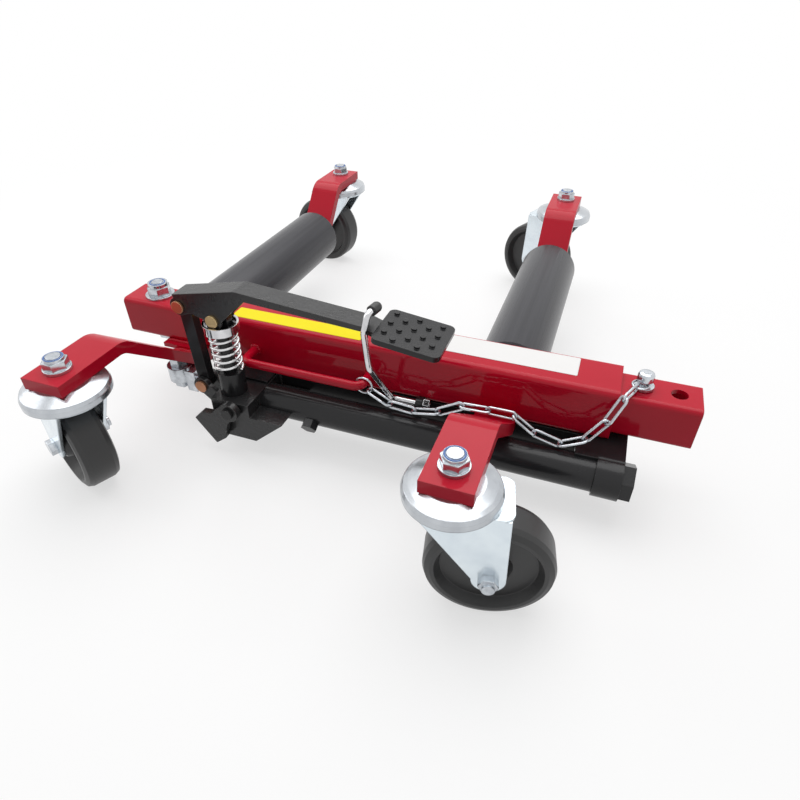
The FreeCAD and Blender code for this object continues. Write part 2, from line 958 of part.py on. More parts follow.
def axle():
    """Axle bolt of a caster with its hub sleeve and nut."""
    outer = s["leg_half"] + s["leg_thick"]
    spot = s["wheel_rad"]
    x = s["trail"]
    low = -outer - s["axle_nut_tall"] - s["axle_end"]
    nut_spot = (x, -outer - s["axle_nut_tall"], spot)
    bolt = fuse(
        rod("y", (x, low, spot), s["axle_rad"], outer * 2 + s["axle_nut_tall"] * 2 + s["axle_end"]),
        hexagon("y", (x, outer, spot), s["axle_nut_rad"], s["axle_nut_tall"]),
    )
    nut = cut(
        hexagon("y", nut_spot, s["axle_nut_rad"], s["axle_nut_tall"]),
        rod("y", nut_spot, s["axle_rad"], s["axle_nut_tall"]),
    )
    sleeve = cut(
        rod("y", (x, -s["leg_half"], spot), s["sleeve_bush_rad"], s["leg_half"] * 2),
        rod("y", (x, -s["leg_half"], spot), s["axle_rad"], s["leg_half"] * 2),
    )
    return group(bolt, nut, sleeve)


def wheel():
    """Caster wheel with a rounded tread, a recessed web and a hub."""
    rad = s["wheel_rad"]
    half = s["wheel_half"]
    bore = s["sleeve_bush_rad"] + s["run_gap"]
    rim = rad - s["wheel_rim"]
    web = s["wheel_web_half"]
    side = (
        (rad, half - s["wheel_round"]),
        (rad - s["wheel_round"] * ROUND_SHARE, half - s["wheel_round"] * ROUND_SHARE),
        (rad - s["wheel_round"], half),
        (rim, half),
        (rim - s["wheel_groove"], web),
        (s["hub_rad"] + s["wheel_groove"], web),
        (s["hub_rad"], s["hub_half"]),
        (bore, s["hub_half"]),
    )
    mirrored = tuple((r, -z) for r, z in reversed(side))
    return turned(side + mirrored)


def casters():
    """Fork, axle and wheel of each caster, turned to its swivel angle."""
    for name, angle in SWIVEL.items():
        side = -1.0 if name.startswith("left") else 1.0
        x, y = caster_spots(side)[0 if name.endswith("front") else 1]
        node(place(fork(), (x, y, 0.0), (0, 0, 1), angle), name + "_fork")
        node(place(axle(), (x, y, 0.0), (0, 0, 1), angle), name + "_axle")
        disc = group(place(wheel(), (s["trail"], 0.0, s["wheel_rad"]), (1, 0, 0), 90.0))
        node(place(disc, (x, y, 0.0), (0, 0, 1), angle), name + "_wheel")


def ram():
    """Rod with its eye and bolt, piston, cylinder tube, end collar, cap, lug and oil plug."""
    height = s["ram_height"]
    eye_low = s["eye_low"]
    start = s["eye_head_rad"] + s["free_gap"] * 2 - rod_tip
    neck_low = height - s["rod_rad"]
    eye = rod("z", (-rod_tip, ram_y, eye_low), s["eye_rad"], s["eye_tall"])
    neck = box(
        (start, ram_y - s["rod_rad"], neck_low),
        (s["neck_len"], s["rod_rad"] * 2, eye_low + s["eye_tall"] - s["neck_drop"] - neck_low),
    )
    shank = rod("x", (start, ram_y, height), s["rod_rad"], s["piston_rest"] - start)
    bolt_hole = rod("z", (-rod_tip, ram_y, eye_low), s["eye_bolt_rad"] + s["run_gap"], s["eye_tall"])
    node(fuse(cut(fuse(eye, neck), bolt_hole, front_arm(-1.0)), shank), "ram_rod")
    back = (s["piston_rest"] - s["piston_len"], ram_y, height)
    piston = cut(
        rod("x", back, s["cylinder_bore"] - s["run_gap"], s["piston_len"]),
        rod("x", back, s["rod_rad"], s["piston_len"]),
    )
    node(piston, "ram_piston")
    head_low = eye_low - s["eye_head_tall"]
    bolt = fuse(
        rod("z", (-rod_tip, ram_y, head_low), s["eye_bolt_rad"], s["eye_nut_top"] - head_low),
        hexagon("z", (-rod_tip, ram_y, head_low), s["eye_head_rad"], s["eye_head_tall"]),
    )
    nut_low = eye_low + s["eye_tall"]
    nuts = cut(
        hexagon("z", (-rod_tip, ram_y, nut_low), s["eye_head_rad"], s["eye_nut_top"] - nut_low),
        front_arm(-1.0),
        eye_bolt_hole(),
    )
    node(group(bolt, nuts), "ram_eye_bolt")


def bearer():
    """Bar under the sleeve from the pump to the ram's lug, notched where the right front bar crosses it."""
    front = sleeve_face + s["bearer_inset"]
    deep = beam_y - front
    tall = sleeve_low - s["bearer_low"]
    notch_left = s["bay_half"] - s["bar_width"] / 2 - s["free_gap"]
    notch_low = toe_low - s["free_gap"]
    notch_wide = s["bar_width"] + s["free_gap"] * 2
    return cut(
        box((-s["bearer_left"], front, s["bearer_low"]), (s["lug_left"] + s["bearer_left"], deep, tall)),
        box((notch_left, front, notch_low), (notch_wide, deep, sleeve_low - notch_low)),
    )


def cylinder_parts():
    """Cylinder tube, its collar and hexagonal cap, the lug under the sleeve and the oil plug."""
    height = s["ram_height"]
    start = (-s["cylinder_left"], ram_y, height)
    length = s["cylinder_left"] + s["cylinder_right"]
    tube = cut(rod("x", start, s["cylinder_rad"], length), rod("x", start, s["cylinder_bore"], length))
    node(tube, "ram_cylinder")
    collar_end = s["cylinder_right"] + s["collar_len"]
    node(rod("x", (s["cylinder_right"], ram_y, height), s["collar_rad"], s["collar_len"]), "cylinder_collar")
    node(hexagon("x", (collar_end, ram_y, height), s["cap_rad"], s["cap_len"]), "cylinder_cap")
    lug = cut(
        box(
            (s["lug_left"], ram_y, s["lug_low"]),
            (s["lug_right"] - s["lug_left"], beam_y - ram_y + s["lug_back"], sleeve_low - s["lug_low"]),
        ),
        rod("x", start, s["cylinder_rad"], length),
        rod("x", (s["cylinder_right"], ram_y, height), s["collar_rad"], s["collar_len"]),
    )
    node(fuse(lug, bearer()), "cylinder_lug")
    blank = doc.addObject("Part::Prism", "hex_bar")
    blank.Polygon = 6
    bind(blank, "Circumradius", s["plug_rad"])
    bind(blank, "Height", s["cylinder_rad"] + s["plug_tall"])
    place(blank, (-s["plug_right"], ram_y, height), (1, 0, 0), 90.0 + s["plug_tilt"].value)
    node(cut(blank, rod("x", start, s["cylinder_rad"], length)), "oil_plug")


fulcrum_x = -s["fulcrum_left"]
base_x = -s["base_left"]
ear_inner = s["link_thick"] / 2 + s["free_gap"]
ear_outer = ear_inner + s["ear_thick"]
piston_pin_height = s["fulcrum_height"] - s["lever_drop"]


def pump_body():
    """Pump block with the ears of the link, its barrel, its bracket and the base pin."""
    block = pad(
        (
            (-s["block_left"], s["block_top"]),
            (-s["block_left"], s["block_shoulder"]),
            (-s["block_low_left"], s["block_low"]),
            (-s["block_low_right"], s["block_low"]),
            (-s["block_right"], s["block_step"]),
            (-s["cylinder_left"], s["block_step"]),
            (-s["cylinder_left"], s["block_top"]),
        ),
        "xz",
        s["block_front"] - s["block_back"],
        s["beam_front"] + s["block_back"],
    )
    ears = []
    for start in (-pump_y - ear_outer, -pump_y + ear_inner):
        ears.append(
            pad(
                (
                    (-s["block_left"] + s["free_gap"], s["block_top"]),
                    (base_x, s["base_height"] + s["ear_rad"]),
                    (base_x, s["base_height"] - s["ear_rad"]),
                    (-s["block_left"] + s["free_gap"], s["block_shoulder"] + s["free_gap"]),
                ),
                "xz",
                s["ear_thick"],
                start,
            )
        )
        spot = (base_x, -start - s["ear_thick"], s["base_height"])
        ears.append(rod("y", spot, s["ear_rad"], s["ear_thick"]))
    bore = s["piston_rad"] + s["run_gap"]
    seat_len = s["cylinder_left"] - s["block_right"] + s["free_gap"]
    pass_len = s["base_left"] - s["block_right"] + s["free_gap"]
    tools = [
        rod("x", (-s["cylinder_left"], ram_y, s["ram_height"]), s["cylinder_rad"], seat_len),
        rod("x", (base_x, ram_y, s["ram_height"]), s["rod_rad"] + s["run_gap"], pass_len),
        rod("z", (-s["pump_left"], pump_y, s["barrel_floor"]), bore, s["block_top"]),
        rod("y", (base_x, pump_y - ear_outer, s["base_height"]), s["pump_pin_rad"], ear_outer * 2),
    ]
    node(cut(fuse(block, *ears), *tools), "pump_block")
    foot = (-s["pump_left"], pump_y, s["block_top"])
    tall = s["barrel_top"] - s["block_top"]
    node(cut(rod("z", foot, s["barrel_rad"], tall), rod("z", foot, bore, tall)), "pump_barrel")
    plate = box(
        (-s["bracket_left"], beam_y - s["bracket_front"], s["block_top"]),
        (
            s["bracket_left"] - s["bracket_right"],
            s["bracket_front"] + s["sleeve_side"] / 4,
            sleeve_low - s["block_top"],
        ),
    )
    node(plate, "pump_bracket")
    node(pump_pin(base_x, s["base_height"], ear_outer), "link_base_pin")


def pump_pin(x, z, reach):
    """Pin across the pump with a round head at each end."""
    head = s["pump_pin_head_tall"]
    return fuse(
        rod("y", (x, pump_y - reach - head, z), s["pump_pin_rad"], (reach + head) * 2),
        rod("y", (x, pump_y - reach - head, z), s["pump_pin_head"], head),
        rod("y", (x, pump_y + reach, z), s["pump_pin_head"], head),
    )


def link_bar():
    """Upright link of the pump, leaning from its base pin to the lever's fulcrum."""
    half = s["link_thick"] / 2
    wide = s["link_wide"] / 2
    bar = [
        pad(
            (
                (base_x - wide, s["base_height"]),
                (base_x + wide, s["base_height"]),
                (fulcrum_x + wide, s["fulcrum_height"]),
                (fulcrum_x - wide, s["fulcrum_height"]),
            ),
            "xz",
            s["link_thick"],
            -pump_y - half,
        )
    ]
    low = (base_x, pump_y - half, s["base_height"])
    high = (fulcrum_x, pump_y - half, s["fulcrum_height"])
    for spot in (low, high):
        bar.append(rod("y", spot, wide, s["link_thick"]))
    holes = (
        rod("y", low, s["pump_pin_rad"] + s["run_gap"], s["link_thick"]),
        rod("y", high, s["pump_pin_rad"], s["link_thick"]),
    )
    return cut(fuse(*bar), *holes)


def pump_linkage():
    """Link, lever, pedal pad and the pins of the foot pump."""
    node(link_bar(), "pump_link")
    reach = s["lever_wide"] / 2
    node(pump_pin(fulcrum_x, s["fulcrum_height"], reach + s["free_gap"]), "fulcrum_pin")
    node(pump_pin(-s["pump_left"], piston_pin_height, reach), "piston_pin")
    node(lever(), "pump_lever")
    node(pedal_pad(), "pedal_pad")


def pad_line(x):
    """Height of the foot pad's underside along its fall."""
    return s["pad_low"] - (x - s["pad_start"]) * s["pad_fall"] / s["pad_len"]


def lever():
    """Pressed channel of the pump lever with round eyes for its two pins."""
    half = s["lever_wide"] / 2
    pin_x = -s["pump_left"]
    step = s["pad_start"] - s["free_gap"]
    tail_end = s["pad_start"] + s["lever_under"]
    crest = s["fulcrum_height"] + s["lever_crest"]
    thin = s["lever_tail_depth"]
    top = (
        (tail_end, pad_line(tail_end)),
        (step, pad_line(s["pad_start"])),
        (s["lever_tail"], s["lever_tail_top"]),
        (-s["lever_peak_left"], s["lever_peak"]),
        (fulcrum_x - s["lever_eye"] / 2, crest),
    )
    bottom = (
        (fulcrum_x, s["fulcrum_height"] - s["lever_eye"]),
        (fulcrum_x + s["lever_dip_right"], s["fulcrum_height"] - s["lever_dip_drop"]),
        (pin_x - s["lever_lobe"], piston_pin_height),
        (pin_x + s["lever_lobe"], piston_pin_height),
        (-s["lever_crook"], s["lever_crook_low"]),
        (-s["lever_peak_left"] + s["lever_depth"], s["lever_peak"] - s["lever_depth"]),
        (s["lever_tail"], s["lever_tail_top"] - thin),
        (step, pad_line(s["pad_start"]) - thin),
        (tail_end, pad_line(tail_end) - thin),
    )
    shell = pad(top + bottom, "xz", s["lever_wide"], -pump_y - half)
    round_edges(shell, corner_test((0, 1, 0), (top[3],)), s["lever_bend"])
    eyes = [
        rod("y", (fulcrum_x, pump_y - half, s["fulcrum_height"]), s["lever_eye"], s["lever_wide"]),
        rod("y", (pin_x, pump_y - half, piston_pin_height), s["lever_lobe"], s["lever_wide"]),
    ]
    plate = s["lever_plate"]
    groove_low = piston_pin_height - s["lever_lobe"] * 2
    groove_left = fulcrum_x - s["lever_eye"] * 2
    channel = pad(
        (
            (tail_end + plate, pad_line(tail_end) - plate),
            (step, pad_line(s["pad_start"]) - plate),
            (s["lever_tail"], s["lever_tail_top"] - plate),
            (-s["lever_peak_left"], s["lever_peak"] - plate),
            (groove_left, crest - plate * 2),
            (groove_left, groove_low),
            (tail_end + plate, groove_low),
        ),
        "xz",
        s["lever_wide"] - plate * 2,
        -pump_y - half + plate,
    )
    holes = [
        rod("y", (fulcrum_x, pump_y - half, s["fulcrum_height"]), s["pump_pin_rad"] + s["run_gap"], half * 2),
        rod("y", (pin_x, pump_y - half, piston_pin_height), s["pump_pin_rad"], half * 2),
    ]
    return cut(fuse(shell, *eyes), channel, *holes)


STUD_COLUMNS = 5


def pedal_pad():
    """Foot pad with rounded corners and staggered studs, tilted along the lever's tail."""
    half = s["pad_wide"] / 2
    length = s["pad_len"]
    plate = pad(((0.0, -half), (length, -half), (length, half), (0.0, half)), "xy", s["pad_thick"])
    round_edges(plate, lambda edge: runs_along(edge, (0, 0, 1)), s["pad_corner"])
    studs = []
    foot = s["pad_thick"] / 2
    for column in range(STUD_COLUMNS):
        stagger = s["stud_row"] / 4 if column % 2 == 0 else -s["stud_row"] / 4
        for row in (-1, 0, 1):
            spot = (s["stud_inset"] + s["stud_step"] * column, s["stud_row"] * row + stagger, foot)
            studs.append(rod("z", spot, s["stud_rad"], foot + s["stud_tall"]))
    tilt = math.degrees(math.atan2(s["pad_fall"].value, s["pad_len"].value))
    spot = (s["pad_start"], pump_y, s["pad_low"])
    return place(group(fuse(plate, *studs)), spot, (0, 1, 0), tilt)


def pump_piston():
    """Piston with a slotted tongue, and the spring cap pressed on it."""
    x = -s["pump_left"]
    low = s["barrel_floor"] + s["piston_stroke"]
    half = s["tongue_thick"] / 2
    floor = s["cap_low"] + s["cap_base"]
    stem = rod("z", (x, pump_y, low), s["piston_rad"], floor - low)
    tongue = box(
        (x - s["tongue_wide"] / 2, pump_y - half, floor),
        (s["tongue_wide"], s["tongue_thick"], s["tongue_rise"]),
    )
    slot_rad = s["pump_pin_rad"] + s["free_gap"]
    slot = [
        box(
            (x - s["slot_half"], pump_y - half, piston_pin_height - slot_rad),
            (s["slot_half"] * 2, s["tongue_thick"], slot_rad * 2),
        )
    ]
    for side in (-1.0, 1.0):
        spot = (x + s["slot_half"] * side, pump_y - half, piston_pin_height)
        slot.append(rod("y", spot, slot_rad, s["tongue_thick"]))
    node(cut(fuse(stem, tongue), *slot), "pump_piston")
    bowl = s["cap_wide"] - s["cap_wall"]
    floor = s["cap_low"] + s["cap_base"]
    cap = turned(
        (
            (s["piston_rad"], s["cap_low"]),
            (s["cap_wide"], s["cap_low"]),
            (s["cap_wide"], s["cap_high"]),
            (bowl, s["cap_high"]),
            (bowl, floor),
            (s["piston_rad"], floor),
        )
    )
    node(place(cap, (x, pump_y, 0.0)), "spring_cap")


def arc_through(start, heading, end, reach):
    """Arc that leaves a point along a heading and whose tangents meet at a given reach."""
    crest = start + heading * reach
    middle = (start + end) * 0.5
    rise = (crest - middle).Length
    half = (end - start).Length / 2
    sag = half * math.tan(math.atan2(rise, half) / 2)
    return Part.Arc(start, middle + (crest - middle) * (sag / rise), end).toShape()


def biarc(start, first, end, last):
    """Two tangent arcs between two points with unit headings."""
    chord = end - start
    lean = chord.dot(first + last)
    spread = 2.0 * (1.0 - first.dot(last))
    reach = (math.sqrt(lean * lean + spread * chord.dot(chord)) - lean) / spread
    joint = (start + end + (first - last) * reach) * 0.5
    return [arc_through(start, first, joint, reach), arc_through(end, last * -1.0, joint, reach)]


def tube(edges, start, heading, radius):
    """Round wire swept along tangent edges as one unbroken tube."""
    path = Part.Wire(edges)
    shell = Part.BRepOffsetAPI.MakePipeShell(path)
    shell.add(Part.Wire(Part.makeCircle(radius, start, heading)))
    shell.build()
    shell.makeSolid()
    return shell.shape()


def rounded_run(points, radii):
    """Straight runs through points, joined by tangent arcs at the inner points."""
    edges = []
    last = points[0]
    for index, radius in enumerate(radii, start=1):
        corner = points[index]
        arrive = (corner - points[index - 1]).normalize()
        leave = (points[index + 1] - corner).normalize()
        turn = arrive.getAngle(leave)
        reach = radius * math.tan(turn / 2)
        first = corner - arrive * reach
        second = corner + leave * reach
        edges.append(Part.LineSegment(last, first).toShape())
        edges.append(arc_through(first, arrive, second, reach))
        last = second
    edges.append(Part.LineSegment(last, points[-1]).toShape())
    return edges


def keep_shape(shape, name):
    """Keep a swept shape as a named piece."""
    item = doc.addObject("Part::Feature", name)
    item.Shape = shape
    return node(item, name)


def return_spring():
    """Compression spring round the piston, between the barrel and its cap."""
    wire = s["wire_rad"].value
    radius = s["coil_rad"].value
    centre = Vector(-s["pump_left"].value, pump_y.value, 0.0)
    low = s["barrel_top"].value + wire + s["free_gap"].value
    rise = s["cap_low"].value - wire - s["free_gap"].value - low
    quarters = int(s["coil_turns"].value * 4)
    spots = []
    headings = []
    for index in range(quarters + 1):
        angle = index * math.pi / 2
        pitch = rise / (quarters * math.pi / 2)
        radial = Vector(math.cos(angle), math.sin(angle), 0.0)
        spots.append(centre + radial * radius + Vector(0.0, 0.0, low + pitch * angle))
        headings.append(Vector(-radial.y * radius, radial.x * radius, pitch).normalize())
    edges = []
    for index in range(quarters):
        edges.extend(biarc(spots[index], headings[index], spots[index + 1], headings[index + 1]))
    lead = wire * 2
    edges.insert(0, Part.LineSegment(spots[0] - headings[0] * lead, spots[0]).toShape())
    edges.append(Part.LineSegment(spots[-1], spots[-1] + headings[-1] * lead).toShape())
    print("spring gap between turns", round(rise / s["coil_turns"].value - wire * 2, 3))
    keep_shape(tube(edges, spots[0] - headings[0] * lead, headings[0], wire), "return_spring")


def release_pedal():
    """Fan-shaped release pedal on the stem of the valve."""
    x = -s["release_left"]
    z = s["release_height"]
    front = -pump_y + (s["block_front"] - s["pump_front"])
    start = front + s["release_gap"]
    points = [(x + right, z + up) for right, up in RELEASE_FAN]
    plate = pad(points, "xz", s["release_thick"], start)
    round_edges(plate, lambda edge: runs_along(edge, (0, 1, 0)), s["bar_edge"])
    boss = rod("y", (x, -start - s["release_thick"], z), s["release_hub"], s["release_thick"])
    hole = rod("y", (x, -start - s["release_thick"], z), s["stem_rad"] + s["run_gap"], s["release_thick"])
    node(cut(fuse(plate, boss), hole), "release_pedal")
    end = -start - s["release_thick"] - s["free_gap"]
    stem = fuse(
        rod("y", (x, end, z), s["stem_rad"], -end - front),
        rod("y", (x, end - s["stem_head_tall"], z), s["stem_head_rad"], s["stem_head_tall"]),
    )
    node(stem, "release_stem")


def front_point(right, front, height):
    """Point given by its distance right of the bay, in front of the beam, and its height."""
    return Vector(as_size(right).value, beam_y.value - as_size(front).value, as_size(height).value)


def pedal_hook():
    """Hook that holds the pedal: pivot bush on the sleeve, bent rod, nut and rubber tip."""
    spot = (s["hook_bush_left"], beam_y - s["hook_pivot_front"], s["hook_pivot_height"])
    length = s["hook_bush_len"]
    bush = fuse(
        rod("x", spot, s["hook_bush_rad"], length),
        box(
            (spot[0], spot[1], spot[2] - s["hook_bush_rad"] / 2),
            (length, sleeve_face - spot[1], s["hook_bush_rad"]),
        ),
    )
    node(cut(bush, rod("x", spot, s["hook_rad"] + s["run_gap"], length)), "hook_pivot")
    right_end = s["hook_bush_left"] + length + s["hook_nut_len"] + s["free_gap"] * 2
    points = [
        front_point(right_end, s["hook_pivot_front"], s["hook_pivot_height"]),
        front_point(s["hook_left"], s["hook_pivot_front"], s["hook_pivot_height"]),
    ]
    for right, front, up in HOOK_ROUTE:
        points.append(
            front_point(s["hook_left"] + right, s["hook_pivot_front"] + front, s["lever_tail_top"] + up)
        )
    edges = rounded_run(points, HOOK_BENDS)
    heading = (points[1] - points[0]).normalize()
    wire = tube(edges, points[0], heading, s["hook_rad"].value)
    nut_spot = (s["hook_bush_left"] + length + s["free_gap"], spot[1], spot[2])
    nut = cut(
        hexagon("x", nut_spot, s["hook_nut_rad"], s["hook_nut_len"]),
        rod("x", nut_spot, s["hook_rad"], s["hook_nut_len"]),
    )
    bent = doc.addObject("Part::Feature", "hook_wire")
    bent.Shape = wire
    node(group(bent, nut), "pedal_hook")
    turn = FreeCAD.Rotation(Vector(0, 0, 1), points[-2] - points[-1])
    sock = rod("z", points[-1], s["hook_tip_rad"], s["hook_tip_len"])
    dome = doc.addObject("Part::Sphere", "dome")
    bind(dome, "Radius", s["hook_tip_rad"])
    for item in (sock, dome):
        item.Placement = FreeCAD.Placement(points[-1], turn)
    node(cut(fuse(sock, dome), bent), "hook_tip")


def carry_handle():
    """Bent carry handle on the sleeve's front, with the split ring that holds the chain."""
    corners = (
        (-s["handle_left"], s["sleeve_side"] / 2),
        (-s["handle_left"], s["handle_front"]),
        (s["handle_right"], s["handle_front"]),
        (s["handle_right"], s["sleeve_side"] / 2),
    )
    points = [front_point(right, front, s["handle_height"]) for right, front in corners]
    bend = s["handle_bend"].value
    edges = rounded_run(points, (bend, bend))
    keep_shape(tube(edges, points[0], Vector(0, -1, 0), s["handle_rad"].value), "carry_handle")
    ring = doc.addObject("Part::Torus", "ring")
    bind(ring, "Radius1", s["ring_rad"])
    bind(ring, "Radius2", s["ring_wire"])
    hang = s["handle_height"] + s["handle_rad"] + s["free_gap"] - (s["ring_rad"] - s["ring_wire"])
    place(ring, (s["handle_right"], beam_y - s["ring_front"], hang), (1, 0, 0), 90.0)
    node(ring, "handle_ring")


# Angle in degrees from -X to the side on which the pin's ring hangs.
PIN_RING_TURN = 60.0


def lock_pin():
    """Lock pin with its flange, neck, rounded head and split ring."""
    x = s["sleeve_right"] + s["lock_inset"]
    low = inner_top + s["free_gap"]
    neck = low + s["pin_flange_tall"]
    head = neck + s["pin_neck_tall"]
    top = head + s["pin_head_tall"]
    soft = s["pin_head_round"]
    pin = turned(
        (
            (0.0, low),
            (s["pin_flange_rad"], low),
            (s["pin_flange_rad"], neck),
            (s["pin_neck_rad"], neck),
            (s["pin_neck_rad"], head),
            (s["pin_head_rad"], head),
            (s["pin_head_rad"], top - soft),
            (s["pin_head_rad"] - soft * ROUND_SHARE, top - soft * ROUND_SHARE),
            (s["pin_head_rad"] - soft, top),
            (0.0, top),
        )
    )
    place(pin, (x, beam_y, 0.0))
    height = neck + s["pin_neck_tall"] / 2
    aside = math.radians(PIN_RING_TURN)
    centre = (x - s["pin_ring_rad"] * math.cos(aside), beam_y - s["pin_ring_rad"] * math.sin(aside), height)
    rings = []
    for wire in (s["pin_eye_rad"], s["pin_ring_wire"]):
        ring = doc.addObject("Part::Torus", "ring")
        bind(ring, "Radius1", s["pin_ring_rad"])
        bind(ring, "Radius2", wire)
        rings.append(place(ring, centre))
    node(cut(pin, rings[0]), "lock_pin")
    node(rings[1], "pin_ring")


def chain_link(first, last, side):
    """One oval link between two joints of the chain, lying along the given side direction."""
    wire = s["link_wire"].value
    bend = s["link_end"].value
    along = (last - first).normalize()
    side = (side - along * side.dot(along)).normalize()
    centre = (first + last) * 0.5
    half = (last - first).Length / 2 + wire + s["link_slack"].value - bend
    signs = ((-1, 1), (1, 1), (1, -1), (-1, -1))
    corners = [centre + along * (half * first) + side * (bend * second) for first, second in signs]
    far = centre + along * (half + bend)
    near = centre - along * (half + bend)
    edges = [
        Part.LineSegment(centre + side * bend, corners[1]).toShape(),
        Part.Arc(corners[1], far, corners[2]).toShape(),
        Part.LineSegment(corners[2], corners[3]).toShape(),
        Part.Arc(corners[3], near, corners[0]).toShape(),
        Part.LineSegment(corners[0], centre + side * bend).toShape(),
    ]
    return tube(edges, centre + side * bend, along, wire)


def lock_chain():
    """Chain of separate links from the handle's ring to the pin's ring."""
    joints = [front_point(*spot) for spot in CHAIN_ROUTE]
    links = []
    for index in range(len(joints) - 1):
        along = joints[index + 1] - joints[index]
        flat = Vector(0, 0, 1).cross(along)
        side = flat if index % 2 == 0 else flat.cross(along)
        links.append(chain_link(joints[index], joints[index + 1], side))
    keep_shape(Part.makeCompound(links), "lock_chain")


def write_parts():
    """Recompute, check every object and write one file for each piece."""
    doc.recompute()
    for item in doc.Objects:
        if "Invalid" in item.State or "Error" in item.State:
            raise RuntimeError("object failed: {} {}".format(item.Name, item.State))
    os.makedirs("parts", exist_ok=True)
    for item in NODES:
        shape = item.Shape
        if shape.isNull() or not shape.isValid():
            raise RuntimeError("shape failed: {}".format(item.Label))
        shape.exportStep("parts/{}.step".format(item.Label))
        limits = shape.BoundBox
        corners = (limits.XMin, limits.XMax, limits.YMin, limits.YMax, limits.ZMin, limits.ZMax)
        print(item.Label, len(shape.Solids), [round(value, 1) for value in corners])


beam_tubes()
tube_end()
arm_set("left", -1.0, s["inner_side"])
arm_set("right", 1.0, s["sleeve_side"])
caster_tops("left", -1.0)
caster_tops("right", 1.0)
casters()
ram()
cylinder_parts()
pump_body()
pump_linkage()
pump_piston()
return_spring()
release_pedal()
pedal_hook()
carry_handle()
lock_pin()
lock_chain()
write_parts()
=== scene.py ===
"""Looks of a vehicle positioning jack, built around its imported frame."""
from __future__ import annotations

import json
import logging
import math
from dataclasses import dataclass
from enum import Enum

import bmesh
import bpy
from mathutils import Matrix, Vector

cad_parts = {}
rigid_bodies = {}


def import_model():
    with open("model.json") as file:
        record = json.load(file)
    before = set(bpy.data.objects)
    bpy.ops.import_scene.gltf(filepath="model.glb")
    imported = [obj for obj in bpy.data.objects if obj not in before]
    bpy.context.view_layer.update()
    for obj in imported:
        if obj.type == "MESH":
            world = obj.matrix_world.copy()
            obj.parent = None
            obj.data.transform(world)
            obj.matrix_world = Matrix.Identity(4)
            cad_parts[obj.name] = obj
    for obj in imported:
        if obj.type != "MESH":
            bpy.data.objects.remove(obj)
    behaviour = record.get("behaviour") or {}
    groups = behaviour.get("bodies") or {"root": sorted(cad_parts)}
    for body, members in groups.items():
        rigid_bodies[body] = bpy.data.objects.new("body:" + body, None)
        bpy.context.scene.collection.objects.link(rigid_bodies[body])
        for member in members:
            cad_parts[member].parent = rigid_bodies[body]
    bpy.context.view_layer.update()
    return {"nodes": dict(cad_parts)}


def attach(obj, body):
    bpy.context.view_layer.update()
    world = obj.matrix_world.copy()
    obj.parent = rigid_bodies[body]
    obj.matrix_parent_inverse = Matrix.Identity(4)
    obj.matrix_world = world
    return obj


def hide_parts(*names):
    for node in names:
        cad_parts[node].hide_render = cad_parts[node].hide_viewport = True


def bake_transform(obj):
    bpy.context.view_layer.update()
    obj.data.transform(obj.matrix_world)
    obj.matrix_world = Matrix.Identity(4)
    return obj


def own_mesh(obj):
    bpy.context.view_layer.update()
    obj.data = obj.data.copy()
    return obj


LOG = logging.getLogger("positioning_jack")
Colour = tuple[float, float, float]
Point = tuple[float, float, float]

SIDES = ("left", "right")
PEEL_DETAIL = 2.0
PIT_RATIO = 1.7
CLOUD_DETAIL = 5.0
CLOUD_ROUGHNESS = 0.6
CLOUD_MIDDLE = 0.5
BEVEL_SAMPLES = 6
CHIP_SCALE = 160.0
CHIP_DETAIL = 6.0
CHIP_GAIN = 6.0
COAT_ROUGHNESS = 0.04


class Link(Enum):
    """Kinds of value that a node group takes in or puts out."""

    COLOUR = "NodeSocketColor"
    VALUE = "NodeSocketFloat"
    VECTOR = "NodeSocketVector"


class GroupMaker:
    """Builds the shader node groups that the finishes share."""

    def __init__(self, name: str) -> None:
        """Start an empty group.

        Args:
            name: Name of the group.
        """
        self.tree = bpy.data.node_groups.new(name, "ShaderNodeTree")
        self.start = self.tree.nodes.new("NodeGroupInput")
        self.end = self.tree.nodes.new("NodeGroupOutput")

    def takes(self, kind: Link, *names: str) -> None:
        """Add input sockets of one kind.

        Args:
            kind: Kind of value.
            names: Names of the sockets.
        """
        for name in names:
            self.tree.interface.new_socket(name, in_out="INPUT", socket_type=kind.value)

    def gives(self, name: str, kind: Link, source: bpy.types.NodeSocket) -> None:
        """Add an output socket and feed it.

        Args:
            name: Name of the socket.
            kind: Kind of value.
            source: Socket inside the group that feeds it.
        """
        self.tree.interface.new_socket(name, in_out="OUTPUT", socket_type=kind.value)
        self.tree.links.new(source, self.end.inputs[name])

    def add(self, kind: str, **settings: object) -> bpy.types.Node:
        """Add a node to the group.

        Args:
            kind: Blender's name of the node type.
            settings: Properties to set on it.

        Returns:
            The new node.
        """
        return add_node(self.tree, kind, **settings)

    def join(self, source: bpy.types.NodeSocket, target: bpy.types.NodeSocket) -> None:
        """Link two sockets."""
        self.tree.links.new(source, target)

    def math(self, operation: str, *values: bpy.types.NodeSocket | float) -> bpy.types.NodeSocket:
        """Add a math node.

        Args:
            operation: Operation of the node.
            values: Sockets or numbers for its inputs.

        Returns:
            The node's result.
        """
        node = self.add("ShaderNodeMath", operation=operation)
        for index, value in enumerate(values):
            if isinstance(value, (int, float)):
                node.inputs[index].default_value = value
            else:
                self.join(value, node.inputs[index])
        return node.outputs[0]


def add_node(tree: bpy.types.NodeTree, kind: str, **settings: object) -> bpy.types.Node:
    """Add a node to a tree.

    Args:
        tree: Tree of a material or a group.
        kind: Blender's name of the node type.
        settings: Properties to set on the node.

    Returns:
        The new node.
    """
    node = tree.nodes.new(kind)
    for key, value in settings.items():
        setattr(node, key, value)
    return node


